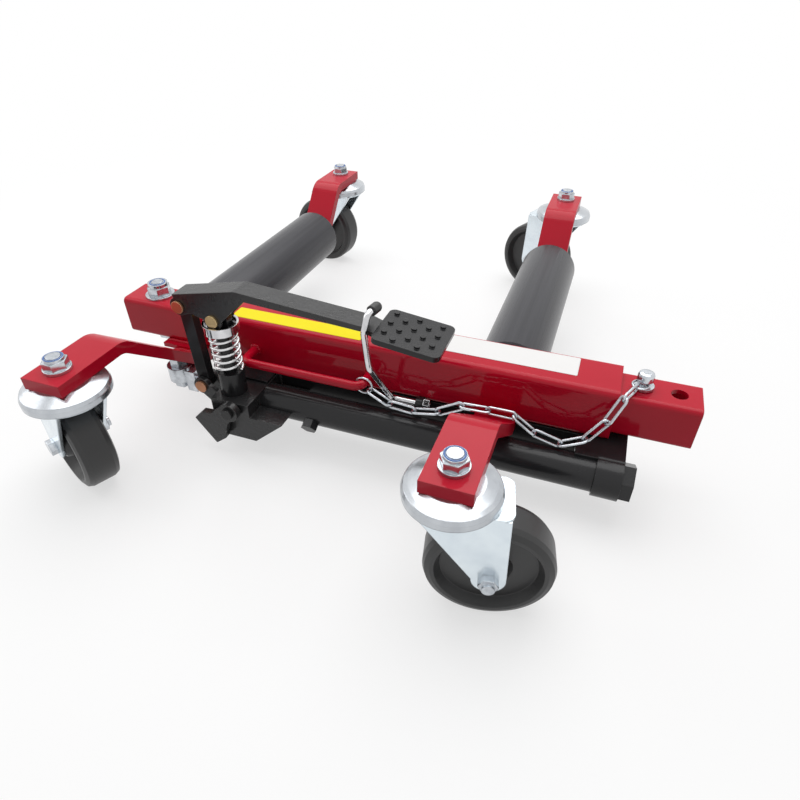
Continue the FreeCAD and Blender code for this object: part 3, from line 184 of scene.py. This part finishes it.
def grain_group() -> bpy.types.NodeTree:
    """Build the fine relief of a surface: a sprayed peel with small pits.

    Returns:
        Group with the inputs Scale and Pits and the output Height.
    """
    group = GroupMaker("Sprayed grain")
    group.takes(Link.VALUE, "Scale", "Pits")
    place = group.add("ShaderNodeTexCoord")
    peel = group.add("ShaderNodeTexNoise")
    peel.inputs["Detail"].default_value = PEEL_DETAIL
    group.join(place.outputs["Object"], peel.inputs["Vector"])
    group.join(group.start.outputs["Scale"], peel.inputs["Scale"])
    pits = group.add("ShaderNodeTexVoronoi")
    group.join(place.outputs["Object"], pits.inputs["Vector"])
    group.join(group.math("MULTIPLY", group.start.outputs["Scale"], PIT_RATIO), pits.inputs["Scale"])
    pit = group.math("MULTIPLY", pits.outputs["Distance"], group.start.outputs["Pits"])
    group.gives("Height", Link.VALUE, group.math("ADD", peel.outputs["Fac"], pit))
    return group.tree


def drift_group() -> bpy.types.NodeTree:
    """Build the slow change of a colour and of its gloss over a surface. On the zinc finish this change is
    a painted dark reflection, and on the cup and roller finishes it is partly painted light.

    Returns:
        Group with the inputs Colour, Shade, Stretch, Scale, Rough and Spread and the outputs Colour
        and Rough.
    """
    group = GroupMaker("Colour drift")
    group.takes(Link.COLOUR, "Colour", "Shade")
    group.takes(Link.VECTOR, "Stretch")
    group.takes(Link.VALUE, "Scale", "Rough", "Spread")
    place = group.add("ShaderNodeTexCoord")
    cloud = group.add("ShaderNodeTexNoise")
    cloud.inputs["Detail"].default_value = CLOUD_DETAIL
    cloud.inputs["Roughness"].default_value = CLOUD_ROUGHNESS
    longer = group.add("ShaderNodeVectorMath", operation="MULTIPLY")
    group.join(place.outputs["Object"], longer.inputs[0])
    group.join(group.start.outputs["Stretch"], longer.inputs[1])
    group.join(longer.outputs["Vector"], cloud.inputs["Vector"])
    group.join(group.start.outputs["Scale"], cloud.inputs["Scale"])
    blend = group.add("ShaderNodeMix", data_type="RGBA")
    group.join(cloud.outputs["Fac"], blend.inputs["Factor"])
    group.join(group.start.outputs["Colour"], blend.inputs["A"])
    group.join(group.start.outputs["Shade"], blend.inputs["B"])
    group.gives("Colour", Link.COLOUR, blend.outputs["Result"])
    offset = group.math("SUBTRACT", cloud.outputs["Fac"], CLOUD_MIDDLE)
    swing = group.math("MULTIPLY", offset, group.start.outputs["Spread"])
    group.gives("Rough", Link.VALUE, group.math("ADD", group.start.outputs["Rough"], swing))
    return group.tree


def edge_wear_and_light_group() -> bpy.types.NodeTree:
    """Build the edge colour of a piece, found where a softened normal leaves the true one: part worn rim
    and part painted light, a painted highlight where the finish gives a lighter edge colour and a painted
    dark reflection where it gives a darker one.

    Returns:
        Group with the inputs Radius and Amount and the outputs Mask and Normal.
    """
    group = GroupMaker("Edge wear and painted light")
    group.takes(Link.VALUE, "Radius", "Amount")
    soft = group.add("ShaderNodeBevel", samples=BEVEL_SAMPLES)
    group.join(group.start.outputs["Radius"], soft.inputs["Radius"])
    true = group.add("ShaderNodeNewGeometry")
    match = group.add("ShaderNodeVectorMath", operation="DOT_PRODUCT")
    group.join(soft.outputs["Normal"], match.inputs[0])
    group.join(true.outputs["Normal"], match.inputs[1])
    bend = group.math("SUBTRACT", 1.0, match.outputs["Value"])
    place = group.add("ShaderNodeTexCoord")
    chips = group.add("ShaderNodeTexNoise")
    chips.inputs["Scale"].default_value = CHIP_SCALE
    chips.inputs["Detail"].default_value = CHIP_DETAIL
    group.join(place.outputs["Object"], chips.inputs["Vector"])
    broken = group.math("MULTIPLY", bend, group.math("MULTIPLY", chips.outputs["Fac"], CHIP_GAIN))
    mask = group.add("ShaderNodeMath", operation="MULTIPLY", use_clamp=True)
    group.join(broken, mask.inputs[0])
    group.join(group.start.outputs["Amount"], mask.inputs[1])
    group.gives("Mask", Link.VALUE, mask.outputs[0])
    group.gives("Normal", Link.VECTOR, soft.outputs["Normal"])
    return group.tree


@dataclass(frozen=True)
class Groups:
    """The shared node groups of the finishes."""

    grain: bpy.types.NodeTree
    drift: bpy.types.NodeTree
    edge: bpy.types.NodeTree


@dataclass(frozen=True)
class Finish:
    """One finish of the jack and the values of its detail.

    Colour and shade are the two ends of the drift. On the zinc finish the drift is a painted dark
    reflection, and on the cup and roller finishes it is partly painted light.
    The edge colour is part wear and part painted light: lighter than the colour it is a painted edge
    highlight, darker it is a painted dark rim reflection.
    Drift, grain and stretch are the scales of the noise, and relief and edge are lengths in metres.
    """

    name: str
    colour: Colour
    shade: Colour
    edge_wear_and_light_colour: Colour
    rough: float
    spread: float = 0.1
    drift: float = 18.0
    stretch: Point = (1.0, 1.0, 1.0)
    grain: float = 450.0
    pits: float = 0.2
    relief: float = 0.00006
    edge: float = 0.0009
    edge_wear_and_light_amount: float = 0.35
    coat: float = 0.0
    metallic: float = 0.0
    gloss: float = 0.5

    def build(self, groups: Groups) -> bpy.types.Material:
        """Make the material of this finish.

        Args:
            groups: Shared node groups.

        Returns:
            The new material.
        """
        material = bpy.data.materials.new(self.name)
        material.use_nodes = True
        tree = material.node_tree
        shader = tree.nodes["Principled BSDF"]
        shader.inputs["Metallic"].default_value = self.metallic
        shader.inputs["Coat Weight"].default_value = self.coat
        shader.inputs["Coat Roughness"].default_value = COAT_ROUGHNESS
        shader.inputs["Specular IOR Level"].default_value = self.gloss
        drift = add_node(tree, "ShaderNodeGroup", node_tree=groups.drift)
        drift.inputs["Colour"].default_value = (*self.colour, 1.0)
        drift.inputs["Shade"].default_value = (*self.shade, 1.0)
        drift.inputs["Scale"].default_value = self.drift
        drift.inputs["Stretch"].default_value = self.stretch
        drift.inputs["Rough"].default_value = self.rough
        drift.inputs["Spread"].default_value = self.spread
        edge = add_node(tree, "ShaderNodeGroup", node_tree=groups.edge)
        edge.inputs["Radius"].default_value = self.edge
        edge.inputs["Amount"].default_value = self.edge_wear_and_light_amount
        # Edge colour mixed in by the edge mask: part wear and part painted light, a painted highlight on
        # most finishes and a painted dark rim reflection on the zinc, fork, cup and chrome.
        worn_and_lit_edge = add_node(tree, "ShaderNodeMix", data_type="RGBA")
        worn_and_lit_edge.inputs["B"].default_value = (*self.edge_wear_and_light_colour, 1.0)
        tree.links.new(edge.outputs["Mask"], worn_and_lit_edge.inputs["Factor"])
        tree.links.new(drift.outputs["Colour"], worn_and_lit_edge.inputs["A"])
        tree.links.new(worn_and_lit_edge.outputs["Result"], shader.inputs["Base Color"])
        tree.links.new(drift.outputs["Rough"], shader.inputs["Roughness"])
        grain = add_node(tree, "ShaderNodeGroup", node_tree=groups.grain)
        grain.inputs["Scale"].default_value = self.grain
        grain.inputs["Pits"].default_value = self.pits
        bump = add_node(tree, "ShaderNodeBump")
        bump.inputs["Distance"].default_value = self.relief
        tree.links.new(grain.outputs["Height"], bump.inputs["Height"])
        tree.links.new(edge.outputs["Normal"], bump.inputs["Normal"])
        tree.links.new(bump.outputs["Normal"], shader.inputs["Normal"])
        return material


# The fourth colour of each finish is its edge colour, part wear and part painted light. Lighter than the
# colour it is a painted edge highlight; darker (zinc, fork, cup, chrome) it is a painted dark rim
# reflection.
RED = Finish("Red_powder_coat", (0.54, 0.0015, 0.022), (0.45, 0.001, 0.016), (0.62, 0.03, 0.06), 0.4,
             coat=0.35, gloss=0.08, edge_wear_and_light_amount=0.2)
BLACK = Finish("Satin_black_paint", (0.012, 0.012, 0.013), (0.024, 0.024, 0.026),
               (0.12, 0.12, 0.12), 0.26, grain=650.0, coat=0.12, gloss=0.26)
CAST = Finish("Cast_black_paint", (0.016, 0.016, 0.017), (0.034, 0.034, 0.035),
              (0.16, 0.16, 0.16), 0.28, drift=40.0, grain=210.0, pits=0.5, relief=0.00022, edge_wear_and_light_amount=0.5,
              gloss=0.42)
# Roller: the lighter streaks along its length are part scratch marks and part painted highlight streaks.
ROLLER = Finish("Roller_grey", (0.005, 0.005, 0.008), (0.084, 0.084, 0.094), (0.2, 0.2, 0.2), 0.26,
                drift=90.0, stretch=(1.0, 0.02, 1.0), grain=900.0, relief=0.00002, gloss=0.3)
# Zinc: the dark end of the drift gives nut facets and patches a painted dark reflection.
ZINC = Finish("Bright_zinc", (0.86, 0.90, 0.94), (0.22, 0.24, 0.27), (0.12, 0.13, 0.15), 0.18,
              spread=0.12, drift=130.0, grain=1500.0, relief=0.000004, edge=0.0011, edge_wear_and_light_amount=0.5, metallic=0.92)
FORK = Finish("Passivated_zinc", (0.90, 0.97, 1.0), (0.62, 0.70, 0.77), (0.3, 0.32, 0.35), 0.24,
              spread=0.14, drift=42.0, grain=1500.0, relief=0.000006, edge=0.0013, edge_wear_and_light_amount=0.5, metallic=0.92)
# Cup: the darker streaks of the drift are part brushed marks and part painted dark reflection.
CUP = Finish("Pressed_zinc", (0.82, 0.85, 0.88), (0.22, 0.24, 0.27), (0.12, 0.13, 0.15), 0.21,
             spread=0.16, drift=24.0, stretch=(1.0, 1.0, 0.2), grain=1500.0, relief=0.000004, edge=0.0014,
             edge_wear_and_light_amount=0.6, metallic=0.94)
CHROME = Finish("Polished_chrome", (0.88, 0.88, 0.89), (0.34, 0.34, 0.36), (0.2, 0.2, 0.21), 0.1,
                spread=0.06, drift=90.0, grain=1500.0, relief=0.000004, metallic=1.0)
STEEL = Finish("Spring_steel", (0.78, 0.78, 0.79), (0.62, 0.62, 0.63), (0.85, 0.85, 0.85), 0.22,
               grain=900.0, relief=0.00001, metallic=0.95)
RUBBER = Finish("Wheel_rubber", (0.026, 0.026, 0.027), (0.038, 0.038, 0.038), (0.10, 0.10, 0.10), 0.38,
                grain=1100.0, pits=0.4)
COPPER = Finish("Copper_plate", (0.62, 0.30, 0.17), (0.48, 0.22, 0.12), (0.75, 0.45, 0.3), 0.32,
                metallic=0.8)
BRASS = Finish("Yellow_zinc", (0.72, 0.55, 0.22), (0.62, 0.42, 0.25), (0.8, 0.7, 0.4), 0.3,
               metallic=0.8)
YELLOW = Finish("Yellow_strip", (0.93, 0.80, 0.003), (0.86, 0.73, 0.003), (0.95, 0.85, 0.1), 0.4,
                grain=1500.0, relief=0.00001, gloss=0.15)
WHITE = Finish("White_strip", (0.86, 0.85, 0.84), (0.80, 0.79, 0.78), (0.9, 0.9, 0.9), 0.32,
               grain=1500.0, relief=0.00001)
NYLON = Finish("Blue_nylon", (0.10, 0.20, 0.48), (0.08, 0.16, 0.40), (0.2, 0.3, 0.55), 0.45)
FINISHES = (RED, BLACK, CAST, ROLLER, ZINC, FORK, CUP, CHROME, STEEL, RUBBER, COPPER, BRASS, YELLOW, WHITE,
            NYLON)


class Palette:
    """All finishes of the jack as materials."""

    def __init__(self) -> None:
        """Build the shared groups and every finish."""
        groups = Groups(grain_group(), drift_group(), edge_wear_and_light_group())
        self.materials = {finish: finish.build(groups) for finish in FINISHES}

    def dress(self, nodes: dict[str, bpy.types.Object], finish: Finish, *names: str) -> None:
        """Give CAD nodes a finish.

        Args:
            nodes: CAD nodes by name.
            finish: Finish to give.
            names: Names of the nodes.
        """
        for name in names:
            self.paint(nodes[name], finish)

    def paint(self, piece: bpy.types.Object, finish: Finish) -> None:
        """Give one object a finish.

        Args:
            piece: Object to dress.
            finish: Finish to give.
        """
        if not piece.material_slots:
            piece.data.materials.append(self.materials[finish])
        for slot in piece.material_slots:
            slot.material = self.materials[finish]


def mesh_piece(name: str, build: bmesh.types.BMesh, smooth: bool = True) -> bpy.types.Object:
    """Turn a bmesh into an object of the scene.

    Args:
        name: Name of the piece.
        build: Finished bmesh; it is freed.
        smooth: Whether faces are shaded smooth.

    Returns:
        The new object.
    """
    bmesh.ops.recalc_face_normals(build, faces=build.faces)
    mesh = bpy.data.meshes.new(name)
    build.to_mesh(mesh)
    build.free()
    mesh.polygons.foreach_set("use_smooth", [smooth] * len(mesh.polygons))
    piece = bpy.data.objects.new(name, mesh)
    bpy.context.collection.objects.link(piece)
    return piece


def sweep(build: bmesh.types.BMesh, path: list[Vector], radii: list[float], closed: bool,
          sides: int) -> None:
    """Sweep a round section along points.

    Args:
        build: Mesh that takes the tube.
        path: Points of the centre line.
        radii: Radius at each point.
        closed: Whether the end joins the start.
        sides: Corners of the section.
    """
    count = len(path)
    rings = []
    across = None
    for index, spot in enumerate(path):
        before = path[index - 1] if closed or index else spot
        after = path[(index + 1) % count] if closed or index < count - 1 else spot
        along = (after - before).normalized()
        if across is None:
            across = along.orthogonal()
        across = (across - along * across.dot(along)).normalized()
        up = along.cross(across)
        ring = []
        for side in range(sides):
            angle = math.tau * side / sides
            outward = across * math.cos(angle) + up * math.sin(angle)
            ring.append(build.verts.new(spot + outward * radii[index]))
        rings.append(ring)
    pairs = list(zip(rings, rings[1:]))
    if closed:
        pairs.append((rings[-1], rings[0]))
    for low, high in pairs:
        for side in range(sides):
            other = (side + 1) % sides
            build.faces.new((low[side], low[other], high[other], high[side]))
    if not closed:
        build.faces.new(list(reversed(rings[0])))
        build.faces.new(rings[-1])


@dataclass
class ReturnSpring:
    """Coil spring round the pump's piston, in metres."""

    centre: tuple[float, float] = (-0.0895, -0.2255)
    low: float = 0.0885
    high: float = 0.129
    radius: float = 0.013
    wire: float = 0.0015
    turns: float = 5.5
    steps: int = 36
    sides: int = 14
    floor: float = 0.0865
    keep: float = 0.899

    def build(self) -> bpy.types.Object:
        """Make the spring as one tube.

        Returns:
            The spring, fixed to the sleeve.
        """
        build = bmesh.new()
        count = int(self.turns * self.steps)
        path = []
        for index in range(count + 1):
            angle = math.tau * index / self.steps
            height = self.low + (self.high - self.low) * index / count
            path.append(Vector((self.centre[0] + self.radius * math.cos(angle),
                                self.centre[1] + self.radius * math.sin(angle), height)))
        sweep(build, path, [self.wire] * len(path), False, self.sides)
        piece = mesh_piece("return_spring_coil", build)
        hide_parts("return_spring")
        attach(piece, "sleeve")
        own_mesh(piece)
        return piece


@dataclass
class LockChain:
    """Chain between the handle's ring and the lock pin's ring, in metres."""

    wire: float = 0.0013
    bend: float = 0.0039
    slack: float = 0.0003
    arc_steps: int = 10
    sides: int = 12
    joints: tuple[Point, ...] = (
        (0.0492, -0.200, 0.0773), (0.0725, -0.206, 0.0708), (0.0970, -0.206, 0.0690),
        (0.1205, -0.206, 0.0740), (0.1430, -0.206, 0.0875), (0.1670, -0.206, 0.0885),
        (0.1910, -0.206, 0.0886), (0.2100, -0.205, 0.0740), (0.2340, -0.204, 0.0670),
        (0.2540, -0.200, 0.0750), (0.2680, -0.194, 0.0940), (0.2775, -0.1865, 0.1165),
        (0.2866, -0.166, 0.1170))

    def link(self, build: bmesh.types.BMesh, first: Vector, last: Vector, standing: bool) -> None:
        """Add one oval link.

        Args:
            build: Mesh that takes the link.
            first: Joint at its start.
            last: Joint at its end.
            standing: Whether the link stands on edge.
        """
        along = (last - first).normalized()
        side = Vector((0, 0, 1)).cross(along).normalized()
        if standing:
            side = side.cross(along).normalized()
        centre = (first + last) / 2
        half = (last - first).length / 2 + self.wire + self.slack - self.bend
        path = []
        for end in (1.0, -1.0):
            for index in range(self.arc_steps + 1):
                angle = math.pi * (index / self.arc_steps - 0.5)
                offset = along * (half + self.bend * math.cos(angle)) - side * (self.bend * math.sin(angle))
                path.append(centre + offset * end)
        sweep(build, path, [self.wire] * len(path), True, self.sides)

    def build(self) -> bpy.types.Object:
        """Make all links as one piece.

        Returns:
            The chain, bending from the sleeve to the lock pin.
        """
        build = bmesh.new()
        spots = [Vector(joint) for joint in self.joints]
        for index in range(len(spots) - 1):
            self.link(build, spots[index], spots[index + 1], index % 2 == 1)
        piece = mesh_piece("lock_chain_links", build)
        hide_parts("lock_chain")
        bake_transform(piece)
        return piece


@dataclass
class TopStrip:
    """Plain coloured strip stuck on the sleeve's top, in metres."""

    name: str
    left: float
    right: float
    front: float
    back: float
    top: float = 0.116
    thick: float = 0.00025
    corner: float = 0.0015
    corner_steps: int = 4
    lift: float = 0.00002

    def build(self) -> bpy.types.Object:
        """Make the strip with rounded corners.

        Returns:
            The strip.
        """
        build = bmesh.new()
        outline = []
        corners = ((self.right, self.back), (self.left, self.back),
                   (self.left, self.front), (self.right, self.front))
        for quarter, (x, y) in enumerate(corners):
            inset_x = -self.corner if x == self.right else self.corner
            inset_y = -self.corner if y == self.back else self.corner
            for step in range(self.corner_steps + 1):
                angle = math.pi / 2 * (quarter + step / self.corner_steps)
                outline.append((x + inset_x + self.corner * math.cos(angle),
                                y + inset_y + self.corner * math.sin(angle)))
        face = build.faces.new([build.verts.new((x, y, self.top + self.lift)) for x, y in outline])
        lifted = bmesh.ops.extrude_face_region(build, geom=[face])
        rise = [item for item in lifted["geom"] if isinstance(item, bmesh.types.BMVert)]
        bmesh.ops.translate(build, verts=rise, vec=(0, 0, self.thick))
        piece = mesh_piece(self.name, build, smooth=False)
        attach(piece, "sleeve")
        return piece


@dataclass
class WeldBead:
    """Painted weld bead along a straight seam, in metres."""

    name: str
    body: str
    start: Point
    end: Point
    slot: str = "red_paint"
    radius: float = 0.0022
    ripple: float = 0.0006
    pitch: float = 0.0026
    rings: int = 6
    least_rings: int = 12
    end_share: float = 0.35
    end_rise: float = 4.0
    sides: int = 10

    def build(self) -> bpy.types.Object:
        """Make the bead with its ripples.

        Returns:
            The bead.
        """
        build = bmesh.new()
        first, last = Vector(self.start), Vector(self.end)
        length = (last - first).length
        count = max(self.least_rings, int(length / self.pitch * self.rings))
        path = [first.lerp(last, index / count) for index in range(count + 1)]
        radii = []
        for index in range(count + 1):
            wave = abs(math.sin(math.pi * length * index / count / self.pitch))
            taper = min(1.0, self.end_share + self.end_rise * min(index, count - index) / count)
            radii.append((self.radius + self.ripple * (wave - 0.5)) * taper)
        sweep(build, path, radii, False, self.sides)
        piece = mesh_piece(self.name, build)
        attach(piece, self.body)
        return piece


@dataclass
class SmallRing:
    """Small round ring, such as a lock nut's nylon or a weld round a rod, in metres."""

    name: str
    body: str
    centre: Point
    radius: float = 0.0072
    wire: float = 0.0008
    across: Point = (0.0, 1.0, 0.0)
    ripple: float = 0.0
    waves: int = 9
    steps: int = 72
    sides: int = 10

    def build(self) -> bpy.types.Object:
        """Make the ring.

        Returns:
            The ring.
        """
        build = bmesh.new()
        path = []
        for index in range(self.steps):
            angle = math.tau * index / self.steps
            turn = Vector((math.cos(angle), 0.0, 0.0)) + Vector(self.across) * math.sin(angle)
            path.append(Vector(self.centre) + turn * self.radius)
        radii = [self.wire + self.ripple * math.sin(math.tau * self.waves * index / self.steps)
                 for index in range(self.steps)]
        sweep(build, path, radii, True, self.sides)
        piece = mesh_piece(self.name, build)
        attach(piece, self.body)
        return piece


class CornerSet(Enum):
    """The four caster places."""

    LEFT_FRONT = "left_front"
    RIGHT_FRONT = "right_front"
    LEFT_REAR = "left_rear"
    RIGHT_REAR = "right_rear"


@dataclass
class Beam:
    """Telescopic beam with its arms, welds and strips."""

    strips: tuple[TopStrip, ...] = (
        TopStrip("yellow_strip", -0.113, 0.031, -0.1765, -0.158),
        TopStrip("white_strip", 0.113, 0.236, -0.1655, -0.1355))
    beads: tuple[WeldBead, ...] = (
        WeldBead("left_saddle_weld", "left_frame", (-0.204, -0.1775, 0.0692), (-0.152, -0.1775, 0.0692)),
        WeldBead("left_toe_weld", "left_frame", (-0.189, -0.1856, 0.0645), (-0.152, -0.1856, 0.0645)),
        WeldBead("right_toe_weld", "sleeve", (0.152, -0.1825, 0.0643), (0.189, -0.1825, 0.0643)))
    black_beads: tuple[WeldBead, ...] = (
        WeldBead("bearer_weld", "sleeve", (-0.0617, -0.182, 0.042), (-0.0617, -0.182, 0.062),
                 slot="black_paint"),)
    handle_welds: tuple[SmallRing, ...] = tuple(
        SmallRing(name, "sleeve", (x, -0.1826, 0.084), radius=0.0047, wire=0.0016, across=(0.0, 0.0, 1.0),
                  ripple=0.0003)
        for name, x in (("handle_weld_left", -0.0865), ("handle_weld_right", 0.0435)))

    def dress(self, nodes: dict[str, bpy.types.Object], palette: Palette) -> None:
        """Build the small pieces and give the beam its finishes.

        Args:
            nodes: CAD nodes by name.
            palette: Finishes of the jack.
        """
        palette.dress(nodes, RED, "inner_tube", "outer_sleeve", "left_front_arm", "left_rear_arm",
                      "right_front_arm", "right_rear_arm", "carry_handle")
        palette.dress(nodes, BLACK, "end_block", "hook_pivot", "cylinder_lug", "pump_bracket")
        palette.dress(nodes, ZINC, "tube_bolt")
        for strip, finish in zip(self.strips, (YELLOW, WHITE)):
            palette.paint(strip.build(), finish)
        for bead in self.beads + self.handle_welds:
            palette.paint(bead.build(), RED)
        for bead in self.black_beads:
            palette.paint(bead.build(), BLACK)


@dataclass
class Rollers:
    """The two rollers with their bushes and shafts."""

    def dress(self, nodes: dict[str, bpy.types.Object], palette: Palette) -> None:
        """Give the rollers their finishes.

        Args:
            nodes: CAD nodes by name.
            palette: Finishes of the jack.
        """
        for side in SIDES:
            palette.dress(nodes, ROLLER, side + "_roller")
            palette.dress(nodes, BLACK, side + "_roller_bushes")
            palette.dress(nodes, ZINC, side + "_roller_shaft")


@dataclass
class Casters:
    """The four swivel casters."""

    rings: tuple[SmallRing, ...] = (
        SmallRing("left_front_nut_ring", "left_frame", (-0.1705, -0.340, 0.1529)),
        SmallRing("left_rear_nut_ring", "left_frame", (-0.1705, 0.224, 0.1529)),
        SmallRing("right_front_nut_ring", "sleeve", (0.1705, -0.340, 0.1529)),
        SmallRing("right_rear_nut_ring", "sleeve", (0.1705, 0.224, 0.1529)),
        SmallRing("tube_nut_ring", "left_frame", (-0.219, -0.156, 0.1263), radius=0.0078))

    def dress(self, nodes: dict[str, bpy.types.Object], palette: Palette) -> None:
        """Build the nut rings and give the casters their finishes.

        Args:
            nodes: CAD nodes by name.
            palette: Finishes of the jack.
        """
        for corner in CornerSet:
            palette.dress(nodes, FORK, corner.value + "_fork")
            palette.dress(nodes, ZINC, corner.value + "_axle")
            palette.dress(nodes, RUBBER, corner.value + "_wheel")
        for side in SIDES:
            palette.dress(nodes, ZINC, side + "_caster_bolts")
            palette.dress(nodes, CUP, side + "_caster_races")
        for ring in self.rings:
            palette.paint(ring.build(), NYLON)


@dataclass
class PumpAndRam:
    """Foot pump, ram and release valve."""

    spring: ReturnSpring

    def dress(self, nodes: dict[str, bpy.types.Object], palette: Palette) -> None:
        """Build the spring and give the pump and the ram their finishes.

        Args:
            nodes: CAD nodes by name.
            palette: Finishes of the jack.
        """
        palette.dress(nodes, BLACK, "ram_cylinder", "cylinder_collar", "cylinder_cap", "pump_barrel",
                      "pump_link", "pump_piston", "pedal_pad", "release_stem", "oil_plug")
        palette.dress(nodes, CAST, "pump_block", "pump_lever", "release_pedal")
        palette.dress(nodes, CHROME, "ram_piston", "spring_cap")
        palette.dress(nodes, ZINC, "ram_rod", "ram_eye_bolt")
        palette.dress(nodes, COPPER, "link_base_pin", "fulcrum_pin")
        palette.dress(nodes, BRASS, "piston_pin")
        palette.paint(self.spring.build(), STEEL)


@dataclass
class LockGear:
    """Pedal hook, lock pin, rings and chain."""

    chain: LockChain

    def dress(self, nodes: dict[str, bpy.types.Object], palette: Palette) -> None:
        """Build the chain and give the lock gear its finishes.

        Args:
            nodes: CAD nodes by name.
            palette: Finishes of the jack.
        """
        palette.dress(nodes, CHROME, "pedal_hook")
        palette.dress(nodes, RUBBER, "hook_tip")
        palette.dress(nodes, ZINC, "lock_pin", "pin_ring", "handle_ring")
        palette.paint(self.chain.build(), ZINC)


def seen_mask(tree: bpy.types.NodeTree) -> bpy.types.NodeSocket:
    """Mark what the camera sees, straight or in a reflection.

    Args:
        tree: Tree of the material or the world.

    Returns:
        Socket that is one for camera rays and glossy rays.
    """
    path = add_node(tree, "ShaderNodeLightPath")
    seen = add_node(tree, "ShaderNodeMath", operation="MAXIMUM")
    tree.links.new(path.outputs["Is Camera Ray"], seen.inputs[0])
    tree.links.new(path.outputs["Is Glossy Ray"], seen.inputs[1])
    return seen.outputs[0]


@dataclass(frozen=True)
class Lamp:
    """Soft square lamp, in metres and watts."""

    name: str
    spot: Point
    aim: Point
    size: float
    power: float

    def build(self) -> None:
        """Add the lamp to the scene."""
        data = bpy.data.lights.new(self.name, "AREA")
        data.size = self.size
        data.energy = self.power
        lamp = bpy.data.objects.new(self.name, data)
        lamp.location = self.spot
        lamp.rotation_euler = (Vector(self.aim) - Vector(self.spot)).to_track_quat("-Z", "Y").to_euler()
        bpy.context.collection.objects.link(lamp)


@dataclass
class Studio:
    """Pale floor, soft light and the camera."""

    eye: Point = (0.23535, -0.62538, 0.42047)
    yaw: float = 0.3486
    pitch: float = 0.6541
    lens: float = 26.72
    sensor: float = 36.0
    floor_size: float = 40.0
    floor_drop: float = 0.0004
    floor_rough: float = 0.9
    floor_gloss: float = 0.1
    floor_dim: float = 0.5
    floor_pale: float = 0.95
    floor_lift: float = 0.62
    floor_near: float = 0.55
    floor_far: float = 1.1
    world_strength: float = 0.4
    lamps: tuple[Lamp, ...] = (
        Lamp("overhead_lamp", (-0.1, 0.5, 2.0), (0.0, -0.1, 0.0), 2.4, 40.0),
        Lamp("left_lamp", (-1.9, -0.3, 1.3), (0.0, -0.1, 0.1), 1.2, 6.0))

    def floor(self) -> None:
        """Lay the pale floor."""
        build = bmesh.new()
        bmesh.ops.create_grid(build, x_segments=1, y_segments=1, size=self.floor_size)
        floor = mesh_piece("studio_floor", build, smooth=False)
        floor.location.z = -self.floor_drop
        floor.data.materials.append(self.floor_material())

    def floor_material(self) -> bpy.types.Material:
        """Make the floor's finish, which keeps the shadow and fades to white away from the jack.

        Returns:
            The new material.
        """
        material = bpy.data.materials.new("Studio_floor")
        material.use_nodes = True
        tree = material.node_tree
        shader = tree.nodes["Principled BSDF"]
        shader.inputs["Roughness"].default_value = self.floor_rough
        shader.inputs["Specular IOR Level"].default_value = self.floor_gloss
        shown = seen_mask(tree)
        tone = add_node(tree, "ShaderNodeMix", data_type="RGBA")
        tone.inputs["A"].default_value = (*[self.floor_dim] * 3, 1.0)
        tone.inputs["B"].default_value = (*[self.floor_pale] * 3, 1.0)
        tree.links.new(shown, tone.inputs["Factor"])
        tree.links.new(tone.outputs["Result"], shader.inputs["Base Color"])
        spot = add_node(tree, "ShaderNodeTexCoord")
        away = add_node(tree, "ShaderNodeVectorMath", operation="LENGTH")
        tree.links.new(spot.outputs["Object"], away.inputs[0])
        fade = add_node(tree, "ShaderNodeMapRange")
        fade.inputs["From Min"].default_value = self.floor_near
        fade.inputs["From Max"].default_value = self.floor_far
        fade.inputs["To Min"].default_value = self.floor_lift
        tree.links.new(away.outputs["Value"], fade.inputs["Value"])
        seen = add_node(tree, "ShaderNodeMath", operation="MULTIPLY")
        tree.links.new(fade.outputs["Result"], seen.inputs[0])
        tree.links.new(shown, seen.inputs[1])
        plain = add_node(tree, "ShaderNodeEmission")
        blend = add_node(tree, "ShaderNodeMixShader")
        tree.links.new(seen.outputs[0], blend.inputs["Fac"])
        tree.links.new(shader.outputs["BSDF"], blend.inputs[1])
        tree.links.new(plain.outputs["Emission"], blend.inputs[2])
        tree.links.new(blend.outputs["Shader"], tree.nodes["Material Output"].inputs["Surface"])
        return material

    def light(self) -> None:
        """Set the world and the lamps."""
        world = bpy.data.worlds.new("Studio_world")
        world.use_nodes = True
        bpy.context.scene.world = world
        tree = world.node_tree
        back = tree.nodes["Background"]
        back.inputs["Color"].default_value = (1.0, 1.0, 1.0, 1.0)
        level = add_node(tree, "ShaderNodeMapRange")
        level.inputs["To Min"].default_value = self.world_strength
        tree.links.new(seen_mask(tree), level.inputs["Value"])
        tree.links.new(level.outputs["Result"], back.inputs["Strength"])
        for lamp in self.lamps:
            lamp.build()

    def camera(self) -> None:
        """Set the camera at the photograph's place."""
        data = bpy.data.cameras.new("camera")
        data.lens = self.lens
        data.sensor_width = self.sensor
        camera = bpy.data.objects.new("camera", data)
        turn = Matrix.Rotation(self.yaw, 4, "Z") @ Matrix.Rotation(math.pi / 2 - self.pitch, 4, "X")
        camera.matrix_world = Matrix.Translation(self.eye) @ turn
        bpy.context.collection.objects.link(camera)
        bpy.context.scene.camera = camera

    def build(self) -> None:
        """Set up the whole studio."""
        self.floor()
        self.light()
        self.camera()
        bpy.context.scene.view_settings.view_transform = "Standard"


def main() -> None:
    """Build the looks of the jack in order."""
    logging.basicConfig(level=logging.INFO, format="%(message)s")
    for item in list(bpy.data.objects):
        bpy.data.objects.remove(item)
    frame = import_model()
    nodes = frame["nodes"]
    palette = Palette()
    assemblies = (Beam(), Rollers(), Casters(), PumpAndRam(ReturnSpring()), LockGear(LockChain()))
    for assembly in assemblies:
        assembly.dress(nodes, palette)
        LOG.info("dressed %s", type(assembly).__name__)
    Studio().build()


if __name__ == "__main__":
    main()
